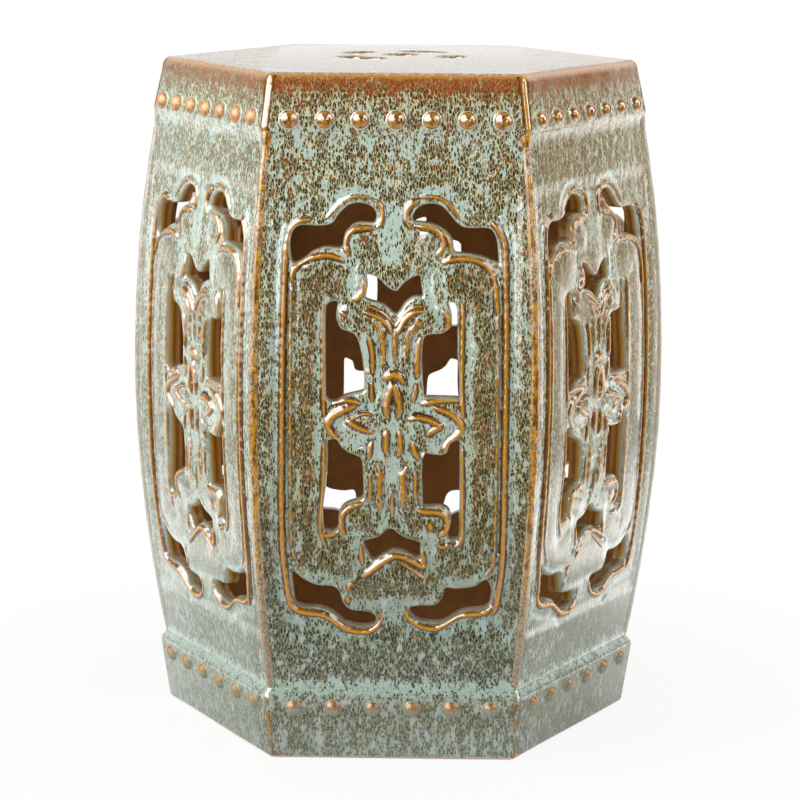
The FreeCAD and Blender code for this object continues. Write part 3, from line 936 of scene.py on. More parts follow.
# Ridges: half width, height, amber from 0 to 1, dark line on the left only or on both sides, path
LEFT = "left"
BOTH = "both"
RIDGES = (
    # outer beads
    (1.7, 1.7, 1.0, BOTH, ((-56.5, 374.5), (-61, 374), (-66, 371), (-69.4, 366), (-71.3, 359), (-72.4, 350),
        (-73.1, 332), (-74.0, 300), (-74.6, 250), (-75, 200), (-74.9, 165), (-74, 145), (-72.3, 130),
        (-70.6, 118))),
    (1.7, 1.7, 1.0, BOTH, ((68, 106.5), (70, 112), (72, 125), (73.6, 140), (74.1, 165), (74.2, 200),
        (74.2, 250), (74, 300), (73.2, 332), (72.7, 351), (71.5, 361), (68.5, 368), (64.5, 372.5))),
    # strap frame: shoulders, outer edges and lower corners
    (1.8, 1.4, 1.0, LEFT, ((-34, 347.5), (-37, 349.2), (-43, 351), (-50, 350.6), (-58, 348.5), (-64, 344.5),
        (-67.5, 340), (-68.5, 334))),
    (1.8, 1.4, 1.0, LEFT, ((68.3, 315), (67.5, 322), (66.5, 332), (64, 340), (59, 346), (52, 349),
        (44, 349.6), (37, 348.8), (32, 346.5))),
    (1.1, 0.7, 0.40, BOTH, ((-68.6, 330), (-69, 290), (-69.2, 240), (-69, 190), (-68.6, 160), (-67.5, 150),
        (-65, 143), (-60.5, 134.5))),
    (1.1, 0.7, 0.40, BOTH, ((62, 133.5), (65, 137), (67.2, 142), (68.4, 155), (68.6, 190), (68.8, 240),
        (68.8, 290), (68.4, 313))),
    # inner edges of the straps
    (1.4, 1.0, 1.0, BOTH, ((-46.8, 318), (-47.1, 300), (-47.1, 270), (-46.9, 255), (-46.4, 244))),
    (1.4, 1.0, 0.9, BOTH, ((43.5, 321), (45, 317), (45, 300), (44.9, 270), (45.6, 250), (46.4, 244))),
    (1.3, 0.8, 0.8, BOTH, ((-46.4, 225), (-47, 200), (-48.6, 180), (-49, 166), (-47, 158), (-45, 152.5))),
    (1.3, 0.9, 0.9, BOTH, ((45.7, 222), (46.2, 200), (46.3, 180), (46.3, 165), (45, 157), (42, 154))),
    (1.7, 0.8, 0.8, BOTH, ((-48, 161.5), (-44, 161.2), (-40, 162), (-37, 164))),
    (1.7, 0.9, 0.8, BOTH, ((30.5, 154.5), (34, 153.5), (37.3, 155.2))),
    # pendant between the top openings
    (2.0, 1.6, 1.0, LEFT, ((-14.5, 369.3), (-20, 369.3), (-26, 368.7), (-30.5, 366), (-32.8, 361),
        (-32.8, 356), (-30.5, 351.5))),
    (2.0, 1.6, 1.0, LEFT, ((27.5, 351.3), (31, 355), (32, 359), (30.5, 364), (26.5, 368.6), (21, 370.3),
        (15, 370.8))),
    (1.4, 1.0, 0.8, BOTH, ((37.3, 351.5), (37, 357), (35.2, 362.5), (31.5, 367))),
    (1.5, 1.0, 0.7, LEFT, ((-13, 387), (-9.6, 383), (-8.6, 378), (-9.6, 372), (-12, 369.5))),
    (1.9, 1.4, 1.0, BOTH, ((14.5, 387), (10, 384.5), (7.6, 379.5), (7.6, 374), (10, 369.6))),
    (1.3, 0.6, 0.5, LEFT, ((-14.5, 389), (-25, 390), (-33, 387), (-40, 381), (-45, 375.5))),
    (1.3, 0.6, 0.6, LEFT, ((44, 375), (39, 381), (33, 387), (25, 390), (17, 389.5))),
    # head of the column
    (2.4, 1.3, 1.0, BOTH, ((-20.6, 334.5), (-20.2, 329), (-22, 325), (-25.5, 322))),
    (1.5, 1.2, 1.0, BOTH, ((-19.6, 313.8), (-15, 312.3), (-10, 310), (-6, 307.2), (-3.4, 304),
        (-1.6, 300.5))),
    (0.8, 0.7, 0.9, BOTH, ((-18.6, 317.6), (-13.5, 316.4), (-8, 313.4), (-3.6, 309.6), (-0.6, 305.6))),
    (1.5, 1.2, 0.8, BOTH, ((18.6, 314.6), (14.5, 314.4), (10, 312), (6.4, 308.4), (4.2, 304),
        (2.2, 300.5))),
    (0.8, 0.7, 0.9, BOTH, ((19.4, 317.8), (15, 317.9), (10, 315.6), (5.6, 311.4), (2.4, 306.6),
        (0.8, 304.6))),
    (1.6, 1.0, 0.8, LEFT, ((-38, 317), (-40.3, 311), (-38.2, 305), (-34, 301))),
    (2.2, 1.4, 1.0, LEFT, ((34.2, 302), (35.6, 305), (35.6, 310), (33.5, 315))),
    (3.0, 1.6, 0.9, BOTH, ((16.2, 306.9), (16.6, 305.7))),
    (1.9, 0.9, 0.8, BOTH, ((-35, 313.5), (-33, 311.5))),
    (1.5, 1.3, 1.0, BOTH, ((-17.2, 297), (-15.2, 291), (-14.3, 282), (-14.3, 273.5))),
    (1.8, 1.3, 1.0, BOTH, ((17.2, 296), (15.8, 290), (15.2, 281), (15.2, 270.5))),
    (2.2, 1.3, 0.42, BOTH, ((-13.5, 309), (-10.5, 304), (-8.4, 298), (-7.4, 290), (-7.2, 283),
        (-7.6, 278.6))),
    (2.2, 1.3, 0.42, BOTH, ((13.5, 304), (10.6, 300), (8.8, 295), (8.0, 288), (7.4, 280.5))),
    (1.3, 1.1, 0.50, BOTH, ((0.3, 300.5), (0.4, 294), (0.6, 287), (0.7, 281))),
    (2.4, 1.2, 0.42, BOTH, ((-9.0, 203.5), (-9.3, 197), (-9.6, 189), (-9.2, 181))),
    (2.3, 1.2, 0.42, BOTH, ((5.8, 203.5), (6.2, 197), (6.6, 190), (6.4, 182))),
    # flower: upper petal, cap, two lower petals, side petals
    (1.9, 1.6, 1.0, BOTH, ((-0.9, 264.8), (-2.8, 261), (-4.5, 255.5), (-5.1, 250), (-4.7, 246),
        (-3.8, 243))),
    (1.9, 1.6, 1.0, BOTH, ((-0.5, 264.8), (1.3, 261), (3.0, 255.5), (3.8, 250), (3.5, 246), (2.7, 243))),
    (2.5, 1.7, 0.85, BOTH, ((-5.8, 269.3), (-3.2, 271.2), (0.4, 272.2), (3.8, 270.6), (6.3, 267.2))),
    (2.0, 1.6, 1.0, BOTH, ((-4.7, 233.6), (-5.2, 229), (-5.3, 224), (-4.6, 220), (-3.9, 217.4))),
    (2.0, 1.6, 1.0, BOTH, ((3.6, 233.6), (4.3, 229), (4.5, 224), (4.0, 220), (3.2, 217.4))),
    (1.0, 0.9, 0.8, BOTH, ((-14.6, 244.7), (-18.8, 245.5), (-23, 244.4), (-26.5, 242.6), (-30, 240.8))),
    (1.8, 1.4, 0.95, BOTH, ((-30.0, 240.3), (-26.6, 238), (-22.3, 235.6), (-18, 234), (-14.4, 233.2))),
    (1.7, 1.5, 1.0, BOTH, ((10.8, 241.8), (14, 243), (18, 243.1), (23, 241.9), (27.5, 239.8),
        (30.6, 237.9))),
    (1.8, 1.5, 1.0, BOTH, ((31.0, 237.6), (28.2, 235.6), (25.5, 233.8), (22.5, 231.8))),
    # flower: wings, knots and leaflets
    (2.3, 1.6, 1.0, LEFT, ((-26, 250.5), (-30, 249.2), (-35, 247), (-40, 244.2), (-43.4, 240.5),
        (-43.9, 237), (-42, 233), (-38.5, 229.3), (-36.2, 227.5))),
    (2.3, 1.6, 1.0, LEFT, ((34.2, 219.8), (35, 223), (37.5, 227), (41.8, 230.6), (45, 234.5), (45.2, 238.5),
        (42, 243), (37, 246.5), (32, 248.5), (27, 250))),
    (1.8, 1.3, 0.9, BOTH, ((-43, 254.4), (-38, 254.0), (-33, 254.6), (-28, 254.2), (-22.5, 252.4))),
    (1.8, 1.3, 0.9, BOTH, ((19, 252.2), (25, 254.2), (31, 255.0), (37, 255.2), (43, 255))),
    (1.5, 1.3, 1.0, BOTH, ((-14.6, 226.6), (-15.6, 222.5), (-16.2, 218.5), (-16.6, 215))),
    (1.7, 1.3, 0.9, BOTH, ((12.6, 226.4), (13.4, 222.5), (14.8, 218.5), (16.4, 215))),
    (1.2, 0.9, 0.7, BOTH, ((-10.8, 209.8), (-9.2, 206), (-7.4, 202.5))),
    (1.2, 0.9, 0.7, BOTH, ((8.8, 209.3), (7.2, 205.5), (5, 202))),
    (1.4, 1.1, 1.0, BOTH, ((-14.9, 266.5), (-15.0, 260.5), (-14.0, 253.5))),
    (1.4, 1.1, 1.0, BOTH, ((14.6, 265), (13.8, 259), (12.6, 253.5))),
    # foot of the column
    (1.3, 0.9, 0.7, BOTH, ((14.8, 206), (14.6, 197), (15, 187))),
    (1.3, 0.9, 0.6, BOTH, ((-15.5, 203), (-15.5, 195), (-16, 185))),
    (0.9, 0.7, 0.6, BOTH, ((-0.6, 191), (-0.8, 183), (-0.6, 175))),
    (1.9, 1.5, 1.0, LEFT, ((-20.5, 184), (-26, 182.4), (-31, 180), (-34.3, 176), (-35.2, 171),
        (-34.8, 166.5), (-32.5, 162.5))),
    (2.0, 1.5, 1.0, LEFT, ((31, 161.5), (35, 164.5), (36.6, 169.5), (36, 174.2), (33, 177.3), (28, 178.2),
        (22, 178.3), (17, 179.2))),
    (3.0, 1.2, 0.9, BOTH, ((24.6, 170), (25.2, 166.8))),
    # arch over the foot of the ornament
    (1.9, 1.5, 1.0, LEFT, ((20.5, 139.8), (16, 142), (10, 145), (4, 147), (0, 146.8), (-5, 144),
        (-10, 140.5), (-15, 136.5), (-19.8, 132.3))),
    (1.1, 0.7, 0.6, BOTH, ((4, 143.6), (9, 140.3), (15, 136), (20.5, 131.8))),
    (1.5, 1.0, 0.8, BOTH, ((-21.6, 153), (-21.2, 147.5), (-20.6, 141.5))),
    (1.5, 1.0, 0.8, BOTH, ((19.8, 150), (20.4, 145), (21, 140))),
    (1.8, 0.9, 0.7, BOTH, ((-27.6, 127), (-30, 125), (-29.4, 121.8))),
    (1.8, 0.9, 0.7, BOTH, ((-30.6, 117.2), (-30.3, 113.8))),
    # lower beads
    (2.1, 1.5, 1.0, LEFT, ((-70.6, 118), (-69.4, 112), (-65.5, 108), (-60, 106), (-50, 104.7), (-43, 102),
        (-37, 97.8), (-30, 93.8), (-22, 92.2), (-15, 93), (-10.5, 96.5))),
    (1.8, 1.2, 0.75, LEFT, ((9, 108), (10.6, 103), (15, 98.6), (20, 96.2), (28, 95), (33, 96.5), (38, 100),
        (44, 103.8), (50, 105.2), (57, 106), (62, 107), (66, 110))),
    (1.2, 0.7, 0.55, LEFT, ((-9.6, 97.5), (-7.4, 102), (-8.6, 108))),
)

# Broad swellings: half width, height, brown speckle from 0 to 1, path
SWELLINGS = (
    (10.5, 1.2, 0.7, ((-59.5, 148), (-59.5, 200), (-59.5, 280), (-58, 330))),
    (10.5, 1.2, 0.7, ((59.5, 148), (59.5, 200), (59.5, 280), (58, 325))),
    (15.0, 1.3, 0.9, ((-53, 334), (-45, 335))),
    (15.0, 1.3, 0.9, ((53, 333), (45, 334))),
    (9.5, 1.5, 0.55, ((-24, 360), (-21, 356))),
    (9.0, 1.5, 0.55, ((23, 361), (21, 357))),
    (10.0, 0.6, 0.1, ((-1, 372), (-1, 340))),
    (8.5, 1.5, 0.55, ((-30, 311), (-18, 308), (-8, 301))),
    (8.5, 1.5, 0.5, ((28, 311), (15, 309), (7, 301))),
    (6.5, 1.0, 0.0, ((-28, 237), (-15, 237))),
    (6.5, 1.0, 0.0, ((14, 236.5), (28, 236.5))),
    (5.5, 0.8, 0.1, ((0, 262), (0, 250))),
    (9.0, 1.5, 0.5, ((-28, 173), (-22, 171))),
    (9.0, 1.5, 0.45, ((27, 170), (21, 171))),
    (14.0, 1.3, 0.6, ((-20, 126), (0, 128), (20, 126))),
    (10.0, 0.9, 0.45, ((-58, 150), (-52, 141), (-40, 139), (-32, 146))),
    (10.0, 0.9, 0.45, ((58, 150), (52, 141), (42, 139), (34, 143))),
)

# Hollows where glaze gathers: half width, depth, smoothness from 0 to 1, path
HOLLOWS = (
    (2.8, 0.8, 0.6, ((-74.5, 371), (-76.5, 366), (-78.5, 345), (-79.4, 300), (-79.8, 250), (-79.8, 180),
        (-78.5, 140), (-75.5, 116))),
    (2.8, 0.8, 0.6, ((70, 378), (75.5, 368), (77.8, 345), (78.8, 300), (79, 250), (79, 180), (77.8, 140),
        (74, 112))),
    (2.0, 0.8, 0.9, ((-71.2, 340), (-71.8, 300), (-72.2, 250), (-72, 180), (-71, 150))),
    (2.0, 0.8, 0.9, ((70.6, 330), (71.4, 300), (71.6, 250), (71.4, 180), (70.4, 150))),
    (2.6, 0.4, 0.75, ((-51.2, 312), (-51.5, 280), (-51.3, 220), (-52.5, 170), (-50, 155))),
    (2.6, 0.4, 0.75, ((50.0, 312), (50.2, 280), (50.5, 220), (50.5, 170), (49, 150), (47, 141))),
    (7.5, 0.3, 0.9, ((-1, 380), (-3, 366), (-3, 352))),
    (4.0, 0.5, 0.8, ((-27, 345), (-27.5, 335), (-28, 326))),
    (4.0, 0.5, 0.8, ((23, 342), (22.5, 334), (23, 324), (28, 314), (30, 308))),
    (3.5, 0.3, 0.7, ((-45, 380), (-36, 391), (-25, 394), (-12, 391))),
    (3.5, 0.3, 0.7, ((46, 379), (38, 390), (26, 394), (12, 391))),
    (1.8, 0.4, 1.0, ((-12.2, 300), (-12, 288), (-11.5, 276), (-11, 262))),
    (1.8, 0.4, 1.0, ((12.2, 300), (12, 288), (11.6, 276), (11, 262))),
    (1.5, 0.4, 1.0, ((-3.0, 300), (-2.9, 288), (-2, 279))),
    (1.5, 0.4, 1.0, ((3.4, 300), (3.4, 288), (2.6, 279))),
    (2.4, 0.3, 1.0, ((-20.4, 298), (-19, 288), (-18.2, 276))),
    (2.0, 0.3, 1.0, ((20.0, 296), (19.2, 284), (19.4, 274))),
    (6.0, 0.6, 0.75, ((-12, 262), (-18, 250), (-26, 245), (-36, 238), (-34, 230), (-24, 225))),
    (6.0, 0.6, 0.75, ((12, 262), (18, 248), (28, 244), (38, 238), (36, 230), (26, 225))),
    (5.0, 0.4, 0.9, ((0, 238), (0, 226), (0, 212), (0, 204))),
    (3.0, 0.5, 0.8, ((-14, 236), (-10, 228), (-11, 216))),
    (3.0, 0.5, 0.8, ((12, 234), (10, 227), (10, 216))),
    (2.4, 0.5, 0.8, ((-4, 200), (-3.8, 186), (-5, 174), (-10, 165))),
    (2.4, 0.5, 0.8, ((3.6, 200), (3.4, 186), (4.5, 174), (9, 165))),
    (4.5, 0.4, 0.85, ((-25, 162), (-25.5, 150), (-25, 140))),
    (5.0, 0.4, 0.85, ((25, 162), (25, 150), (25.5, 138))),
    (4.5, 0.3, 0.8, ((-62, 136), (-52, 130), (-40, 130), (-33, 128))),
    (4.5, 0.3, 0.8, ((30, 126), (40, 129), (52, 129), (60, 134))),
    (5.5, 0.3, 0.75, ((-26, 112), (-12, 112), (0, 112), (0, 100))),
    (4.0, 0.3, 0.8, ((2, 112), (14, 115), (26, 116))),
    (5.0, 0.3, 0.5, ((-72, 104), (-58, 99), (-44, 97), (-32, 88))),
    (5.0, 0.3, 0.5, ((70, 102), (58, 101), (46, 98), (34, 90))),
)

# Creases: depth and path of a narrow dark line in the glaze
CREASES = (
    (0.9, ((-0.8, 259.5), (-0.8, 252), (-0.7, 244.5))),
    (0.5, ((-3.4, 197), (-3.8, 188), (-4.6, 176), (-8, 167))),
    (0.5, ((2.4, 197), (2.8, 188), (4.4, 176), (8, 167))),
    (0.4, ((-64.8, 336), (-65.6, 300), (-65.8, 240), (-65.6, 180), (-64, 152))),
    (0.4, ((65.0, 328), (65.8, 300), (65.9, 240), (65.6, 180), (64.2, 148))),
    (0.4, ((-24, 347), (-30, 340), (-34, 332), (-34.5, 322))),
    (0.4, ((24, 346), (30, 338), (33, 330), (34, 324))),
    (0.5, ((-20, 262), (-27, 259.4), (-34, 258.6))),
    (0.5, ((-10, 232), (-13, 228), (-20, 224), (-27, 222))),
    (0.5, ((10, 231), (14, 227), (20, 224.5), (28, 222.5))),
    (0.5, ((-11, 247), (-18, 247.5), (-26, 246))),
    (0.5, ((10, 246), (17, 247), (25, 246))),
)

# Depth of the recessed field, and the rounding of the openings' edges with its rings of vertices
FIELD_RECESS = 1.5
RIM_ROUND = 2.4
RIM_RINGS = (0.14, 0.5, 1.05, 1.7, 2.4, 3.3)
# The ornament's greatest height, and how much wider the ridges are than their stated half widths
MOST_RELIEF = 3.0
RIDGE_SPREAD = 1.25
# Spacing of the places along ridges, broad shapes and outlines
RIDGE_STEP = 1.4
BROAD_STEP = 2.5
OUTLINE_STEP = 1.25
# Shares of the wall's depth at which the openings' walls have a row of vertices
WALL_SHARES = (0.18, 0.42, 0.7)
# Ends of ridges this near each other join, and don't taper
JOIN_GAP = 2.4
JOIN_LENGTH = 9.0
# Numbers that mean far from every ridge, from its foot and from every rim
NO_RIDGE = 3.0
NO_FOOT = 6.0
FAR_RIM = 8.0
# The recessed field of a side: half its width and its two ends
FIELD_HALF = 83.0
FIELD_LOW = 84.0
FIELD_HIGH = 398.0
# Rows of vertices along a ridge in half widths, and the spacing of the rest
RIDGE_ROWS = (0.0, 0.36, -0.36, 0.72, -0.72, 1.1, -1.1, 1.6, -1.6)
FIELD_SPACING = 1.7
MARGIN_SPACING = 3.6
BACK_SPACING = 9.0


def near_path(places, path, spacing, reach):
    """Places near a smooth line: their distance, whether they lie left, and steps from both ends."""
    line = curve_through(path, spacing)
    chosen = near_box(places, line, reach)
    distance, left, along = gaps_to(places[chosen], line)
    return chosen, distance, left, along, len(line) - 1 - along


def lift(target, chosen, values):
    """Raise the chosen numbers to the given values where those are larger."""
    target[chosen] = np.maximum(target[chosen], values)


def ridge_relief(places):
    """The height of the ridges, and the ridge, glow and foot numbers that the glaze follows."""
    count = len(places)
    relief, ridge = np.zeros(count), np.full(count, NO_RIDGE)
    glow, foot = np.zeros(count), np.full(count, NO_FOOT)
    ends = np.array([path[end] for *_, path in RIDGES for end in (0, -1)])
    for half_width, height, amber, lines, path in RIDGES:
        reach = half_width * RIDGE_SPREAD * 3.0 + 1.0
        chosen, distance, left, along, along_back = near_path(places, path, RIDGE_STEP, reach)
        joined = [np.sum(np.hypot(*(ends - path[end]).T) < JOIN_GAP) > 1 for end in (0, -1)]
        from_start = along * RIDGE_STEP + (JOIN_LENGTH if joined[0] else 0.0)
        from_end = along_back * RIDGE_STEP + (JOIN_LENGTH if joined[1] else 0.0)
        to_end = np.minimum(from_start, from_end)
        uneven = 1.0 + 0.12 * np.sin(along * RIDGE_STEP / 5.0 + path[0][0]) + 0.06 * np.sin(along * 1.3)
        taper = (0.62 + 0.38 * smooth(to_end, -0.5, 4.5)) * uneven
        wide = half_width * RIDGE_SPREAD * taper
        share = np.clip(distance / wide, 0.0, 1.0)
        lift(relief, chosen, np.cos(share * math.pi / 2.0) ** 1.05 * height * 1.3 * taper)
        nearer = distance / wide < ridge[chosen]
        index = chosen[nearer]
        ridge[index] = (distance / wide)[nearer]
        glow[index] = (amber * (0.75 + 0.25 * smooth(to_end, 0.0, 3.0)))[nearer]
        away = np.abs(distance - wide * 1.12)
        if lines == LEFT:
            away = np.where(left, away, away + 1.0)
        foot[index] = away[nearer]
    return relief, ridge, glow, foot


def crease_relief(places, ridge, glow, foot):
    """The depth of the creases, which also darken the glaze between the ridges."""
    depths = np.zeros(len(places))
    for depth, path in CREASES:
        chosen, distance, _, along, along_back = near_path(places, path, RIDGE_STEP, 3.5)
        to_end = smooth(np.minimum(along, along_back) * RIDGE_STEP, 0.0, 4.0)
        lift(depths, chosen, smooth(distance, 1.7, 0.0) * depth * to_end)
        distance = distance + (1.0 - to_end)
        nearer = (distance < foot[chosen]) & (ridge[chosen] > 1.0)
        index = chosen[nearer]
        foot[index] = distance[nearer]
        glow[index] = np.maximum(glow[index], 0.85)
    return depths


def broad_relief(places):
    """The height of the swellings less the hollows, and the brown and pool numbers."""
    count = len(places)
    swell, dip, brown, pool = np.zeros(count), np.zeros(count), np.zeros(count), np.zeros(count)
    for half_width, height, speckle, path in SWELLINGS:
        chosen, distance, *_ = near_path(places, path, BROAD_STEP, half_width)
        share = np.clip(distance / half_width, 0.0, 1.0)
        lift(swell, chosen, (1.0 - share ** 2) ** 1.2 * height)
        lift(brown, chosen, smooth(share, 1.0, 0.55) * speckle)
    for half_width, depth, gathers, path in HOLLOWS:
        chosen, distance, *_ = near_path(places, path, BROAD_STEP, half_width * 1.3)
        share = np.clip(distance / half_width, 0.0, 1.0)
        lift(dip, chosen, (1.0 - share ** 2) ** 2 * depth * 1.6)
        lift(pool, chosen, smooth(distance / half_width, 1.3, 0.5) * gathers)
    return swell - dip, brown, pool * (1.0 - 0.6 * brown)


def rounded_off(gap, radius):
    """How far a rounded edge of a radius has dropped at a gap from its outline."""
    inward = np.clip(radius - gap, 0.0, radius)
    return radius - np.sqrt(np.clip(radius ** 2 - inward ** 2, 0.0, None))


def relief_of(places, loops, relief_scale):
    """The ornament's height and the numbers that the glaze follows, at flat places."""
    ridges, ridge, glow, foot = ridge_relief(places)
    creases = crease_relief(places, ridge, glow, foot)
    broad, brown, pool = broad_relief(places)
    across, up = places.T
    field = smooth(np.abs(across), FIELD_HALF + 1.0, FIELD_HALF - 3.0)
    field = field * smooth(up, FIELD_HIGH, FIELD_HIGH - 10.0) * smooth(up, FIELD_LOW, FIELD_LOW + 10.0)
    rim = gap_to_loops(places, loops, FAR_RIM)
    slope = 0.5 * (1.0 - np.clip(rim / 6.0, 0.0, 1.0)) ** 2
    raised = (broad - creases + ridges) * relief_scale
    raised = MOST_RELIEF * np.tanh(raised / MOST_RELIEF)
    total = raised - FIELD_RECESS * field * relief_scale - rounded_off(rim, RIM_ROUND) - slope
    return total, {"ridge": ridge, "glow": glow, "foot": foot, "rim": rim, "pool": pool, "brown": brown}


def side_half(height):
    """Half of a side's length at a height."""
    return side_skin(height) * HALF_SIDE


def panel_edge():
    """The outline of a side slab, anticlockwise from its lower left corner."""
    levels = np.linspace(PANEL_FOOT, PANEL_HEAD, 110)
    low = np.linspace(-side_half(PANEL_FOOT), side_half(PANEL_FOOT), 50)[:-1]
    high = np.linspace(side_half(PANEL_HEAD), -side_half(PANEL_HEAD), 50)[:-1]
    right = np.stack([side_half(levels[:-1]), levels[:-1]], 1)
    left = np.stack([-side_half(levels[:0:-1]), levels[:0:-1]], 1)
    bottom = np.stack([low, np.full(len(low), PANEL_FOOT)], 1)
    top = np.stack([high, np.full(len(high), PANEL_HEAD)], 1)
    return np.concatenate([bottom, right, top, left])


def panel_points(edge, loops):
    """Places for the front sheet: rings round the openings, rows along the ridges, and the rest."""
    scatter = Scatter()
    for offset in RIM_RINGS:
        for loop in loops:
            ring = loop - normals_of(loop, closed=True) * offset
            clear = gap_to_loops(ring, loops, FAR_RIM) > offset * 0.93
            scatter.add(ring[clear], 0.12 if offset < 0.4 else 0.38)
    for half_width, _, _, _, path in RIDGES:
        line = curve_through(path, OUTLINE_STEP)
        left = normals_of(line)
        for share in RIDGE_ROWS:
            row = line + left * half_width * RIDGE_SPREAD * share
            scatter.add(row[gap_to_loops(row, loops, FAR_RIM) > 0.6], 0.42)
    fill = hexagonal_spread((-FIELD_HALF, FIELD_LOW), (FIELD_HALF, FIELD_HIGH), FIELD_SPACING)
    scatter.add(fill[gap_to_loops(fill, loops, FAR_RIM) > 1.6], 0.95)
    rough = hexagonal_spread((-100, PANEL_FOOT), (100, PANEL_HEAD), MARGIN_SPACING)
    across, up = rough.T
    around = (np.abs(across) > FIELD_HALF + 0.5) | (up > FIELD_HIGH + 1.0) | (up < FIELD_LOW - 0.5)
    within = (np.abs(across) < side_half(up) - 1.5) & (up > PANEL_FOOT + 1.5) & (up < PANEL_HEAD - 1.5)
    scatter.add(rough[around & within], 1.0)
    points = np.array(scatter.kept)
    return points[(gap_to_loops(points, [edge], 3.0) > 0.8) & outside(points, loops)]


def build_side_panel(sizes):
    """The front slab with its openings and ornament."""
    edge = panel_edge()
    loops = [left_handed(curve_through(points, OUTLINE_STEP, closed=True)) for points in OPENINGS]
    front_points = panel_points(edge, loops)
    back_points = hexagonal_spread((-90, PANEL_FOOT + 4), (90, PANEL_HEAD - 3), BACK_SPACING)
    on_slab = np.abs(back_points[:, 0]) < side_half(back_points[:, 1]) - 5.0
    clear = (gap_to_loops(back_points, loops, FAR_RIM) > 3.0) & outside(back_points, loops)
    back_points = back_points[on_slab & clear]

    def front(places):
        across, up = places.T
        raised, _ = relief_of(places, loops, sizes.relief)
        outwards = skin(up) + raised + waver(across, up) * smooth(np.abs(across), 60.0, 80.0)
        outwards = np.minimum(outwards, CAD_FRONT - 0.1)
        return np.stack([across, -outwards, up], 1)

    def back(places, edge_count):
        across, up = places.T
        inwards = side_skin(up) - sizes.wall
        across = across.copy()
        across[:edge_count] *= inwards[:edge_count] / side_skin(up[:edge_count])
        reach = inwards[edge_count:] * HALF_SIDE
        across[edge_count:] = np.clip(across[edge_count:], -reach + 0.5, reach - 0.5)
        return np.stack([across, -inwards, up], 1)

    piece, flat, depth_share = pierced_slab(
        "side_panel_front_glazed", edge, loops, front_points, back_points, front, [], back, WALL_SHARES)
    _, numbers = relief_of(flat, loops, sizes.relief)
    faces_up = {}
    for loop in loops:
        faces_up.update(zip(map(tuple, loop), np.clip(normals_of(loop, closed=True)[:, 1], 0.0, 1.0)))
    ledge = [faces_up.get(tuple(place), 0.0) for place in flat]
    store(piece, depth=depth_share * sizes.wall, ledge=ledge, **numbers)
    smooth_by_angle(piece)
    return piece


# Bands, rolls, knobs and the seat

# Vertices across a band: on half a rounded corner, and on the flat between the corners
CORNER_STEPS = 8
FLAT_STEPS = 40
# Width of the amber on a band's corner, and how strong it is
COLLAR_CORNER = 4.2
COLLAR_GLOW = 0.95
BASE_CORNER = 2.6
BASE_GLOW = 0.24


def across_points(half, rounding):
    """Places across one side from seam to seam, with half of a rounded corner at each end."""
    flat_half = (half - rounding) * HALF_SIDE
    flat = [(u, half) for u in np.linspace(-flat_half, flat_half, FLAT_STEPS)]
    corner = []
    for step in range(1, CORNER_STEPS + 1):
        angle = math.radians(30.0) * step / CORNER_STEPS
        corner.append((flat_half + rounding * math.sin(angle), half - rounding + rounding * math.cos(angle)))
    left = [(-u, out) for u, out in reversed(corner)]
    return np.array(left + flat + corner)


def band_places(levels, inner_half, rounding):
    """Rows of places round the section of a band: up its outer face and down its inner face."""
    rows = []
    for level in levels:
        points = across_points(float(skin(level)), rounding)
        wave = waver(points[:, 0], np.full(len(points), level))
        rows.append(np.stack([points[:, 0], -points[:, 1] - wave, np.full(len(points), level)], 1))
    inner = across_points(inner_half, 1.0)
    for level in np.linspace(levels[-1], levels[0], 6):
        rows.append(np.stack([inner[:, 0], -inner[:, 1], np.full(len(inner), level)], 1))
    rows.append(rows[0])
    return np.array(rows)


def build_band(name, sizes, levels, joint, glow, corner_width):
    """A band between its levels, with amber corners and a brown inner face."""
    inner_half = float(side_skin(joint)) - sizes.wall
    piece = wrapped_grid(name, band_places(levels, inner_half, sizes.corner_rounding))
    x, y, z = coordinates(piece).T
    corner = np.abs(skin(z) * HALF_SIDE - np.abs(x)) / corner_width
    inside = smooth(-y, inner_half + 3.0, inner_half + 1.0)
    store(piece, ridge=np.minimum(corner, NO_RIDGE), glow=glow, foot=NO_FOOT, rim=FAR_RIM,
          depth=inside * 12.0, pool=0.0, brown=0.0, ledge=0.0)
    return piece


def build_collar_band(sizes):
    levels = np.concatenate([np.linspace(PANEL_HEAD, 436.0, 7), np.linspace(438.0, SEAT_UNDER, 11)])
    return build_band("collar_band", sizes, levels, PANEL_HEAD, COLLAR_GLOW, COLLAR_CORNER)


def build_base_band(sizes):
    foot = [0.0, 0.25, 0.7, 1.4, 2.2, 3.0]
    levels = np.concatenate([foot, np.linspace(5.0, 43.0, 15), np.linspace(44.0, PANEL_FOOT, 8)])
    return build_band("base_band", sizes, levels, PANEL_FOOT, BASE_GLOW, BASE_CORNER)


def build_seam_roll(sizes):
    """The clay roll over the seam on the +X side, a little thicker under the collar."""
    levels = np.linspace(PANEL_FOOT, PANEL_HEAD, 150)
    angles = np.linspace(0.0, 2.0 * math.pi, 21)
    corner = side_skin(levels) / math.cos(math.radians(30.0))
    middle = corner - (sizes.roll_radius - sizes.roll_reach)
    uneven = 0.12 * np.sin(levels / 17.0) + 0.08 * np.sin(levels / 5.3 + 1.0)
    radius = sizes.roll_radius - 0.3 + uneven + 1.0 * smooth(levels, 420.0, 430.0)
    places = np.zeros((len(levels), len(angles), 3))
    places[:, :, 0] = middle[:, None] + radius[:, None] * np.cos(angles)[None]
    places[:, :, 1] = radius[:, None] * np.sin(angles)[None]
    places[:, :, 2] = levels[:, None]
    return wrapped_grid("seam_roll", places)


# A knob's foot as shares of its radius and levels: from under the surface it narrows to the ball
KNOB_ROOT = (1.07, -0.9)
KNOB_FOOT = ((1.07, 0.0), (1.02, 0.14), (0.99, 0.4))
KNOB_STEPS = 11
BALL_FOOT = 0.5
KNOB_SIDES = 28


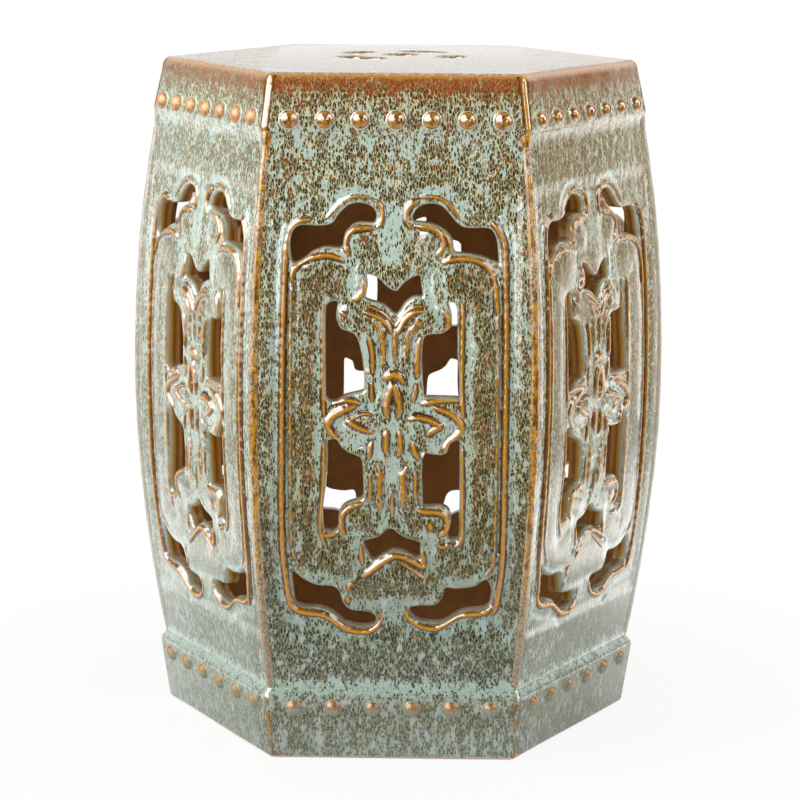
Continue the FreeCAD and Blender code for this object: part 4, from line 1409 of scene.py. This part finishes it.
def knob_at(radius, height, place, lean):
    """A knob made from a circle, drawn up and in, then closed. Returns its object."""
    wide, low = KNOB_ROOT
    bpy.ops.mesh.primitive_circle_add(vertices=KNOB_SIDES, radius=radius * wide / METRE, location=(0, 0, 0))
    piece = bpy.context.active_object
    bpy.ops.object.mode_set(mode="EDIT")
    bpy.ops.mesh.select_all(action="SELECT")
    bpy.ops.transform.translate(value=(0, 0, low / METRE))
    rows = list(KNOB_FOOT)
    rise = height - BALL_FOOT
    ball = (radius ** 2 + rise ** 2) / (2.0 * rise)
    widest = math.asin(radius / ball) if rise < ball else math.radians(90.0)
    for step in range(1, KNOB_STEPS):
        angle = widest * (1.0 - step / KNOB_STEPS)
        rows.append((ball * math.sin(angle) / radius, height - ball * (1.0 - math.cos(angle))))
    for width, level in rows:
        share = width / wide
        bpy.ops.mesh.extrude_region_move(TRANSFORM_OT_translate={"value": (0, 0, (level - low) / METRE)})
        bpy.ops.transform.resize(value=(share, share, 1.0))
        wide, low = width, level
    bpy.ops.mesh.extrude_region_move(TRANSFORM_OT_translate={"value": (0, 0, (height - low) / METRE)})
    bpy.ops.mesh.merge(type="CENTER")
    bpy.ops.object.mode_set(mode="OBJECT")
    close_up(piece)
    places = coordinates(piece)
    store(piece, cap=np.clip(places[:, 2] / height, 0.0, 1.0), top=places[:, 1] / radius)
    turn = Matrix.Rotation(math.radians(90.0 - lean), 4, "X")
    piece.data.transform(Matrix.Translation(Vector(place) / METRE) @ turn)
    return piece


# Knobs of a row, then their height, their level and the lean of the band, in millimetres and degrees
UPPER_ROW = (7, 4.9, 439.8, 11.0)
LOWER_ROW = (6, 4.2, 37.7, -7.0)


def build_knob_row(node, radius, row):
    """A row of knobs, spread as the CAD row is."""
    count, height, level, lean = row
    low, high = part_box(node)
    middle = low.x * METRE + (high.x - low.x) * METRE / 2.0
    reach = (high.x - low.x) * METRE / 2.0 - radius
    knobs = []
    for index in range(count):
        across = middle - reach + 2.0 * reach * index / (count - 1)
        uneven = 1.0 + 0.03 * math.sin(2.3 * index + count)
        place = (across, -float(skin(level)) - float(waver(across, level)), level)
        knobs.append(knob_at(radius * uneven, height, place, lean))
    choose(*knobs)
    bpy.ops.object.join()
    piece = bpy.context.active_object
    smooth_by_angle(piece, 60.0)
    return piece


# The slots round the eye: the direction of each one's middle and half its spread, in degrees
SEAT_SLOTS = ((65.0, 13.0), (140.0, 6.0), (225.0, 17.0), (339.0, 6.0))
SLOT_RING = 39.0
SLOT_WIDTH = 17.0
SLOT_ROUND = 3.0
# The eye's place across and along the seat, and its radius
EYE = (0.5, 3.0, 11.5)
# Rise from the rim's widest level to the flat of the seat, and the radius where the crown ends
SEAT_RISE = 7.5
CROWN_REACH = 142.0
SEAT_WALL = 12.0
# Rings of vertices: inside the rim as shares of its rounding, and round each hole in millimetres
SEAT_RINGS = (0.03, 0.10, 0.22, 0.38, 0.58, 0.8, 1.0)
HOLE_RINGS = (0.15, 0.6, 1.3, 2.3, 3.5)
SEAT_WALL_SHARES = (0.2, 0.5, 0.8)


def slot_loop(middle, spread):
    """The outline of a kidney-shaped slot, anticlockwise."""
    half = SLOT_WIDTH / 2.0
    start = math.radians(middle - spread)
    end = math.radians(middle + spread)

    def side(radius, first, last, count):
        return [(radius * math.cos(a), radius * math.sin(a)) for a in np.linspace(first, last, count)]

    def rounding(at, first):
        """The seven places of a round end, which stands on the ring at an angle."""
        turns = [first + math.pi * step / 8.0 for step in range(1, 8)]
        return [(SLOT_RING * math.cos(at) + half * math.cos(turn),
                 SLOT_RING * math.sin(at) + half * math.sin(turn)) for turn in turns]

    points = side(SLOT_RING + half, start, end, 12) + rounding(end, end)
    points += side(SLOT_RING - half, end, start, 8) + rounding(start, start + math.pi)
    return left_handed(curve_through(points, 1.6, closed=True))


def hexagon_loop(level, rounding):
    """The stool's whole outline at a height, anticlockwise."""
    points = across_points(float(skin(level)), rounding)[:-1]
    points[:, 1] += waver(points[:, 0], np.full(len(points), level))
    x, y = points[:, 0], -points[:, 1]
    loops = []
    for index in range(6):
        angle = SIXTH * index
        loops.append(np.stack([x * math.cos(angle) - y * math.sin(angle),
                               x * math.sin(angle) + y * math.cos(angle)], 1))
    return np.concatenate(loops)


def seat_points(edge, loops, inset):
    """Places for the seat's two sheets: rings inside the rim and round the holes, and the rest."""
    scatter = Scatter()
    inwards = normals_of(edge, closed=True)
    for share in SEAT_RINGS:
        scatter.add(edge + inwards * inset * share, 0.2)
    for offset in HOLE_RINGS:
        for loop in loops:
            scatter.add(loop - normals_of(loop, closed=True) * offset, 0.12)

    def spread_inside(half_width, half_length, spacing, margin):
        points = hexagonal_spread((-half_width, -half_length), (half_width, half_length), spacing)
        clear = (gap_to_loops(points, loops, FAR_RIM) > 4.0) & outside(points, loops)
        return points[inside_loop(points, edge + inwards * margin) & clear]

    scatter.add(spread_inside(170, 150, 4.0, inset + 1.5), 1.0)
    return np.array(scatter.kept), spread_inside(140, 120, 16.0, 14.0)


def build_seat(sizes):
    """The crowned seat with its rounded rim, eye and slots."""
    rim_level = SEAT_RIM - SEAT_RISE
    inset = sizes.rim_rounding
    edge = hexagon_loop(rim_level, sizes.corner_rounding)
    x, y, radius = EYE
    eye = [(x + radius * math.cos(a), y + radius * math.sin(a)) for a in np.linspace(0, 2 * math.pi, 46)[:-1]]
    loops = [np.array(eye)] + [slot_loop(middle, spread) for middle, spread in SEAT_SLOTS]
    front_points, back_points = seat_points(edge, loops, inset)

    def front(places):
        gap = np.minimum(gap_to_loops(places, [edge], inset), inset) / inset
        bend = np.sqrt(np.clip(1.0 - (1.0 - gap) ** 2, 0.0, 1.0))
        crown = sizes.crown * np.clip(1.0 - (np.hypot(*places.T) / CROWN_REACH) ** 2, 0.0, 1.0)
        drop = rounded_off(gap_to_loops(places, loops, FAR_RIM), SLOT_ROUND)
        wave = 0.12 * np.sin(places[:, 0] / 23.0) * np.cos(places[:, 1] / 27.0) * smooth(gap, 0.9, 1.0)
        level = rim_level + SEAT_RISE * bend + crown - drop + wave
        return np.stack([places[:, 0], places[:, 1], np.minimum(level, CAD_TOP - 0.02)], 1)

    def row_at(level):
        def row(_):
            loop = hexagon_loop(level, sizes.corner_rounding)
            return np.concatenate([loop, np.full((len(loop), 1), level)], 1)
        return row

    def back(places, edge_count):
        flat = places.copy()
        flat[:edge_count] = hexagon_loop(SEAT_UNDER, sizes.corner_rounding)
        return np.concatenate([flat, np.full((len(flat), 1), SEAT_UNDER)], 1)

    rows = [row_at(level) for level in np.linspace(rim_level - 1.0, SEAT_UNDER + 1.0, 3)]
    piece, flat, share = pierced_slab(
        "seat_glazed", edge, loops, front_points, back_points, front, rows, back, SEAT_WALL_SHARES)
    gap = gap_to_loops(flat, [edge], SEAT_WALL)
    depth = np.where(gap < 1e-6, 0.0, share * SEAT_WALL)
    angle = np.arctan2(flat[:, 1], flat[:, 0]) % SIXTH
    corner = np.minimum(angle, SIXTH - angle) * np.hypot(*flat.T) / COLLAR_CORNER
    ridge = np.minimum(np.where(gap < 2.5, corner, NO_RIDGE), NO_RIDGE)
    at_hole = (gap_to_loops(flat, loops, FAR_RIM) < 1.3) & (share < 0.1)
    store(piece, ridge=np.where(at_hole, 0.4, ridge), glow=COLLAR_GLOW, foot=NO_FOOT, rim=4.0,
          depth=np.maximum(depth - 5.0, 0.0), pool=0.0, brown=1.0 - smooth(gap, 1.5, 4.5), ledge=0.0)
    smooth_by_angle(piece)
    return piece


# Operators

made_materials = {}


def make_material(name, colours):
    if name == "seam_glaze":
        return seam_glaze(name, colours)
    if name in ("upper_knob_glaze", "lower_knob_glaze"):
        return knob_glaze(name, colours, name == "lower_knob_glaze")
    return RunningGlaze(name, colours, SEAT_SWELL if name == "seat_glaze" else PANEL_SWELL).owner


def material_for(name, context):
    """A finish, made once."""
    if name not in made_materials:
        group = context.scene.glaze_colours
        names = ("amber", "deep_amber", "line", "inside", "clay")
        made_materials[name] = make_material(name, {key: tuple(getattr(group, key)) for key in names})
    return made_materials[name]


class StoolSidePanels(bpy.types.Operator):
    """Model the pierced, ornamented side slabs"""

    bl_idname = "stool.side_panels"
    bl_label = "Side panels"

    def execute(self, context):
        piece = build_side_panel(context.scene.stool_sizes)
        glaze = material_for("side_glaze", context)
        copy_round(piece, "glazed_panel", SIDES, "side_panel", glaze)
        return {"FINISHED"}


class StoolCollarBands(bpy.types.Operator):
    """Model the bands under the seat"""

    bl_idname = "stool.collar_bands"
    bl_label = "Collar bands"

    def execute(self, context):
        piece = build_collar_band(context.scene.stool_sizes)
        glaze = material_for("side_glaze", context)
        copy_round(piece, "glazed_collar", SIDES, "collar_band", glaze)
        return {"FINISHED"}


class StoolBaseBands(bpy.types.Operator):
    """Model the bands that stand on the floor"""

    bl_idname = "stool.base_bands"
    bl_label = "Base bands"

    def execute(self, context):
        piece = build_base_band(context.scene.stool_sizes)
        glaze = material_for("side_glaze", context)
        copy_round(piece, "glazed_base", SIDES, "base_band", glaze)
        return {"FINISHED"}


class StoolSeamRolls(bpy.types.Operator):
    """Model the clay rolls over the seams"""

    bl_idname = "stool.seam_rolls"
    bl_label = "Seam rolls"

    def execute(self, context):
        piece = build_seam_roll(context.scene.stool_sizes)
        glaze = material_for("seam_glaze", context)
        copy_round(piece, "glazed_roll", SEAMS, "seam_roll", glaze)
        return {"FINISHED"}


class StoolUpperKnobs(bpy.types.Operator):
    """Model the knobs on the collar"""

    bl_idname = "stool.upper_knobs"
    bl_label = "Upper knobs"

    def execute(self, context):
        radius = context.scene.stool_sizes.upper_knob_radius
        piece = build_knob_row("upper_knobs_front", radius, UPPER_ROW)
        glaze = material_for("upper_knob_glaze", context)
        copy_round(piece, "glazed_upper_knobs", SIDES, "upper_knobs", glaze)
        return {"FINISHED"}


class StoolLowerKnobs(bpy.types.Operator):
    """Model the knobs on the base"""

    bl_idname = "stool.lower_knobs"
    bl_label = "Lower knobs"

    def execute(self, context):
        radius = context.scene.stool_sizes.lower_knob_radius
        piece = build_knob_row("lower_knobs_front", radius, LOWER_ROW)
        glaze = material_for("lower_knob_glaze", context)
        copy_round(piece, "glazed_lower_knobs", SIDES, "lower_knobs", glaze)
        return {"FINISHED"}


class StoolSeat(bpy.types.Operator):
    """Model the pierced seat"""

    bl_idname = "stool.seat"
    bl_label = "Seat"

    def execute(self, context):
        piece = build_seat(context.scene.stool_sizes)
        piece.name = "glazed_seat"
        declare(piece, "seat_top", material_for("seat_glaze", context))
        return {"FINISHED"}


# Stage, in metres

CAMERA_LENS = 127.05
CAMERA_SENSOR = 36.0
CAMERA_REACH = 20.0
CAMERA_DISTANCE = 2.0042
CAMERA_HEIGHT = 0.61114
CAMERA_OFFSET = 0.00173
STOOL_TURN = math.radians(-0.822)
CAMERA_PITCH = math.radians(10.938)
CAMERA_ROLL = math.radians(0.411)


def add_camera():
    """The photograph's viewpoint. The stool stays square, so the camera takes its slight turn."""
    bpy.ops.object.camera_add()
    camera = bpy.context.active_object
    camera.data.lens = CAMERA_LENS
    camera.data.sensor_width = CAMERA_SENSOR
    camera.data.clip_end = CAMERA_REACH
    turn = Matrix.Rotation(-STOOL_TURN, 3, "Z")
    forward = turn @ Vector((0.0, math.cos(CAMERA_PITCH), -math.sin(CAMERA_PITCH)))
    right = turn @ Vector((1.0, 0.0, 0.0))
    up = right.cross(forward)
    rolled_right = right * math.cos(CAMERA_ROLL) + up * math.sin(CAMERA_ROLL)
    rolled_up = up * math.cos(CAMERA_ROLL) - right * math.sin(CAMERA_ROLL)
    place = turn @ Vector((CAMERA_OFFSET, -CAMERA_DISTANCE, CAMERA_HEIGHT))
    axes = Matrix((rolled_right, rolled_up, -forward)).transposed().to_4x4()
    camera.matrix_world = Matrix.Translation(place) @ axes
    bpy.context.scene.camera = camera


# Lamps: place, width, height and power. Both face the middle of the stool.
LAMP_TARGET = Vector((0, 0, 0.35))
SOFTBOXES = {
    "softbox_left": ((-1.45, -0.85, 1.05), 0.8, 1.0, 12.0),
    "softbox_right": ((1.6, -0.25, 0.75), 0.45, 0.9, 5.0),
}


def add_softboxes():
    """Large soft lamps on both sides of the camera."""
    for name, (place, width, height, power) in SOFTBOXES.items():
        bpy.ops.object.light_add(type="AREA", location=place)
        lamp = bpy.context.active_object
        lamp.name = name
        lamp.data.shape = "RECTANGLE"
        lamp.data.size = width
        lamp.data.size_y = height
        lamp.data.energy = power
        lamp.visible_camera = False
        lamp.rotation_euler = (LAMP_TARGET - Vector(place)).to_track_quat("-Z", "Y").to_euler()


# Bright windows that only reflections see, on the right: the soft limits of each one's direction, in
# degrees round the stool from the camera's side, and of its height, from 0 at the horizon to 1
RIGHT_WINDOWS = (
    ((-103.0, -98.0, -82.0, -76.0), (0.10, 0.16, 0.30, 0.36)),
    ((-46.0, -40.0, -28.0, -22.0), (0.06, 0.12, 0.32, 0.38)),
    ((-103.0, -98.0, -46.0, -40.0), (0.42, 0.48, 0.74, 0.80)),
)
LEFT_STRENGTH = 10.0
RIGHT_STRENGTH = 6.0
LOW_STRENGTH = 4.0
EVEN_LIGHT = 0.80


def mirrored_room(bench):
    """What reflections see: a dark camera side, bright sides, and windows on the left and right."""
    up = bench.height
    degrees = bench.math("ARCTAN2", bench.across * -1.0, bench.ahead * -1.0) * math.degrees(1.0)
    around = abs(degrees)
    room = around.step(55.0, 112.0, 0.06, 1.1) * up.step(-0.10, 0.03, 1.0, 0.10)
    room += around.step(122.0, 126.6, 0.05, degrees.step(-20.0, 20.0, 1.5, 0.9))
    behind = around.step(140.0, 170.0)
    room = room * (1.0 - behind) + behind * 1.03
    over = up - degrees.step(30.0, 95.0, 0.262, 0.15)
    left = (degrees - up.step(0.40, 0.90, 10.0, 40.0)).step(-2.0, 3.0) * degrees.step(107.0, 101.0)
    left = left * over.step(-0.015, 0.015) * up.step(0.90, 0.84)
    low = degrees.between(16.0, 30.0, 88.0, 104.0) * over.step(0.015, -0.015) * up.step(-0.16, -0.06)
    right = 0.0
    for directions, heights in RIGHT_WINDOWS:
        right = bench.math("MAXIMUM", degrees.between(*directions) * up.between(*heights), right)
    return room + left * LEFT_STRENGTH + right * RIGHT_STRENGTH + low * LOW_STRENGTH


def add_world():
    """White to the camera, even light for the shapes, and a room for reflections."""
    world = bpy.data.worlds.new("studio")
    bpy.context.scene.world = world
    bench = Bench(world, "Generated")
    rays = bench.add("ShaderNodeLightPath").outputs
    strength = bench.mix(rays["Is Glossy Ray"], EVEN_LIGHT, mirrored_room(bench))
    seen = bench.math("MAXIMUM", rays["Is Camera Ray"], rays["Is Transmission Ray"])
    background = bench.nodes["Background"].inputs
    bench.feed(background["Strength"], bench.mix(seen, strength, 1.0))
    bench.feed(background["Color"], (1.0, 1.0, 1.0))


FLOOR_WHITE = (0.86, 0.86, 0.86)
FLOOR_RADIUS = 1.1
FLOOR_SIDES = 96


def floor_material():
    """White, with the stool's shadow kept and the far floor blending into the background. For reflections the
    floor glows, most beside the stool and least in front, which paints a reflection on the stool's lower
    faces.
    """
    bench = Bench(bpy.data.materials.new("floor_white"))
    shader = bench.nodes["Principled BSDF"]
    for name, value in (("Base Color", FLOOR_WHITE), ("Roughness", 0.9), ("Specular IOR Level", 0.0)):
        bench.feed(shader.inputs[name], value)
    rays = bench.add("ShaderNodeLightPath").outputs
    away = bench.signal("ShaderNodeVectorMath", {0: bench.place}, "Value", operation="LENGTH")
    # Painted reflection: the floor's glow as glossy rays see it, brighter to the sides of the stool
    sides = away.step(0.26, 0.50, 0.0, 1.4) * bench.ahead.step(-0.35, -0.12)
    sides = sides * bench.across.step(0.10, 0.30, 1.0, 1.7) * away.step(0.60, 1.00, 1.0, 0.0)
    reflection_glow = bench.ahead.step(-0.62, -0.30, 0.25, 1.0) * (sides + away.step(0.70, 1.20, 1.0, 0.55))
    reflection_glow *= abs(bench.across).step(0.14, 0.22, 0.5, 1.0)
    strength = bench.mix(rays["Is Camera Ray"], reflection_glow, 1.0)
    glow = bench.signal("ShaderNodeEmission", {"Strength": strength})
    seen = bench.math("MAXIMUM", rays["Is Camera Ray"], rays["Is Glossy Ray"])
    share = seen * away.step(0.18, 0.5, 0.86, 1.0)
    mixed = bench.signal("ShaderNodeMixShader", {0: share, 1: shader.outputs[0], 2: glow})
    bench.feed(bench.nodes["Material Output"].inputs[0], mixed)
    return bench.owner


class StoolStage(bpy.types.Operator):
    """Set the floor, the lamps, the background and the camera"""

    bl_idname = "stool.stage"
    bl_label = "Stage"

    def execute(self, context):
        bpy.ops.mesh.primitive_circle_add(vertices=FLOOR_SIDES, radius=FLOOR_RADIUS, fill_type="NGON")
        floor = context.active_object
        floor.name = "studio_floor"
        floor.data.materials.append(floor_material())
        add_softboxes()
        add_world()
        add_camera()
        context.scene.view_settings.view_transform = "Standard"
        return {"FINISHED"}


class StoolPanel(bpy.types.Panel):
    """Lists the steps that build the stool"""

    bl_idname = "VIEW3D_PT_stool"
    bl_label = "Pierced garden stool"
    bl_space_type = "VIEW_3D"
    bl_region_type = "UI"
    bl_category = "Stool"

    def draw(self, context):
        layout = self.layout
        for group in (context.scene.stool_sizes, context.scene.glaze_colours):
            for name in group.bl_rna.properties.keys():
                if name not in ("rna_type", "name"):
                    layout.prop(group, name)
        for step in STEPS:
            layout.operator(step.bl_idname)


STEPS = (
    StoolSidePanels, StoolSeamRolls, StoolCollarBands, StoolBaseBands, StoolUpperKnobs,
    StoolLowerKnobs, StoolSeat, StoolStage,
)
CLASSES = (StoolSizes, GlazeColours, *STEPS, StoolPanel)


def register():
    for item in CLASSES:
        bpy.utils.register_class(item)
    bpy.types.Scene.stool_sizes = bpy.props.PointerProperty(type=StoolSizes)
    bpy.types.Scene.glaze_colours = bpy.props.PointerProperty(type=GlazeColours)


def unregister():
    del bpy.types.Scene.glaze_colours
    del bpy.types.Scene.stool_sizes
    for item in reversed(CLASSES):
        bpy.utils.unregister_class(item)


def main():
    register()
    bpy.ops.stool.side_panels()
    bpy.ops.stool.seam_rolls()
    bpy.ops.stool.collar_bands()
    bpy.ops.stool.base_bands()
    bpy.ops.stool.upper_knobs()
    bpy.ops.stool.lower_knobs()
    bpy.ops.stool.seat()
    bpy.ops.stool.stage()


if __name__ == "__main__":
    main()
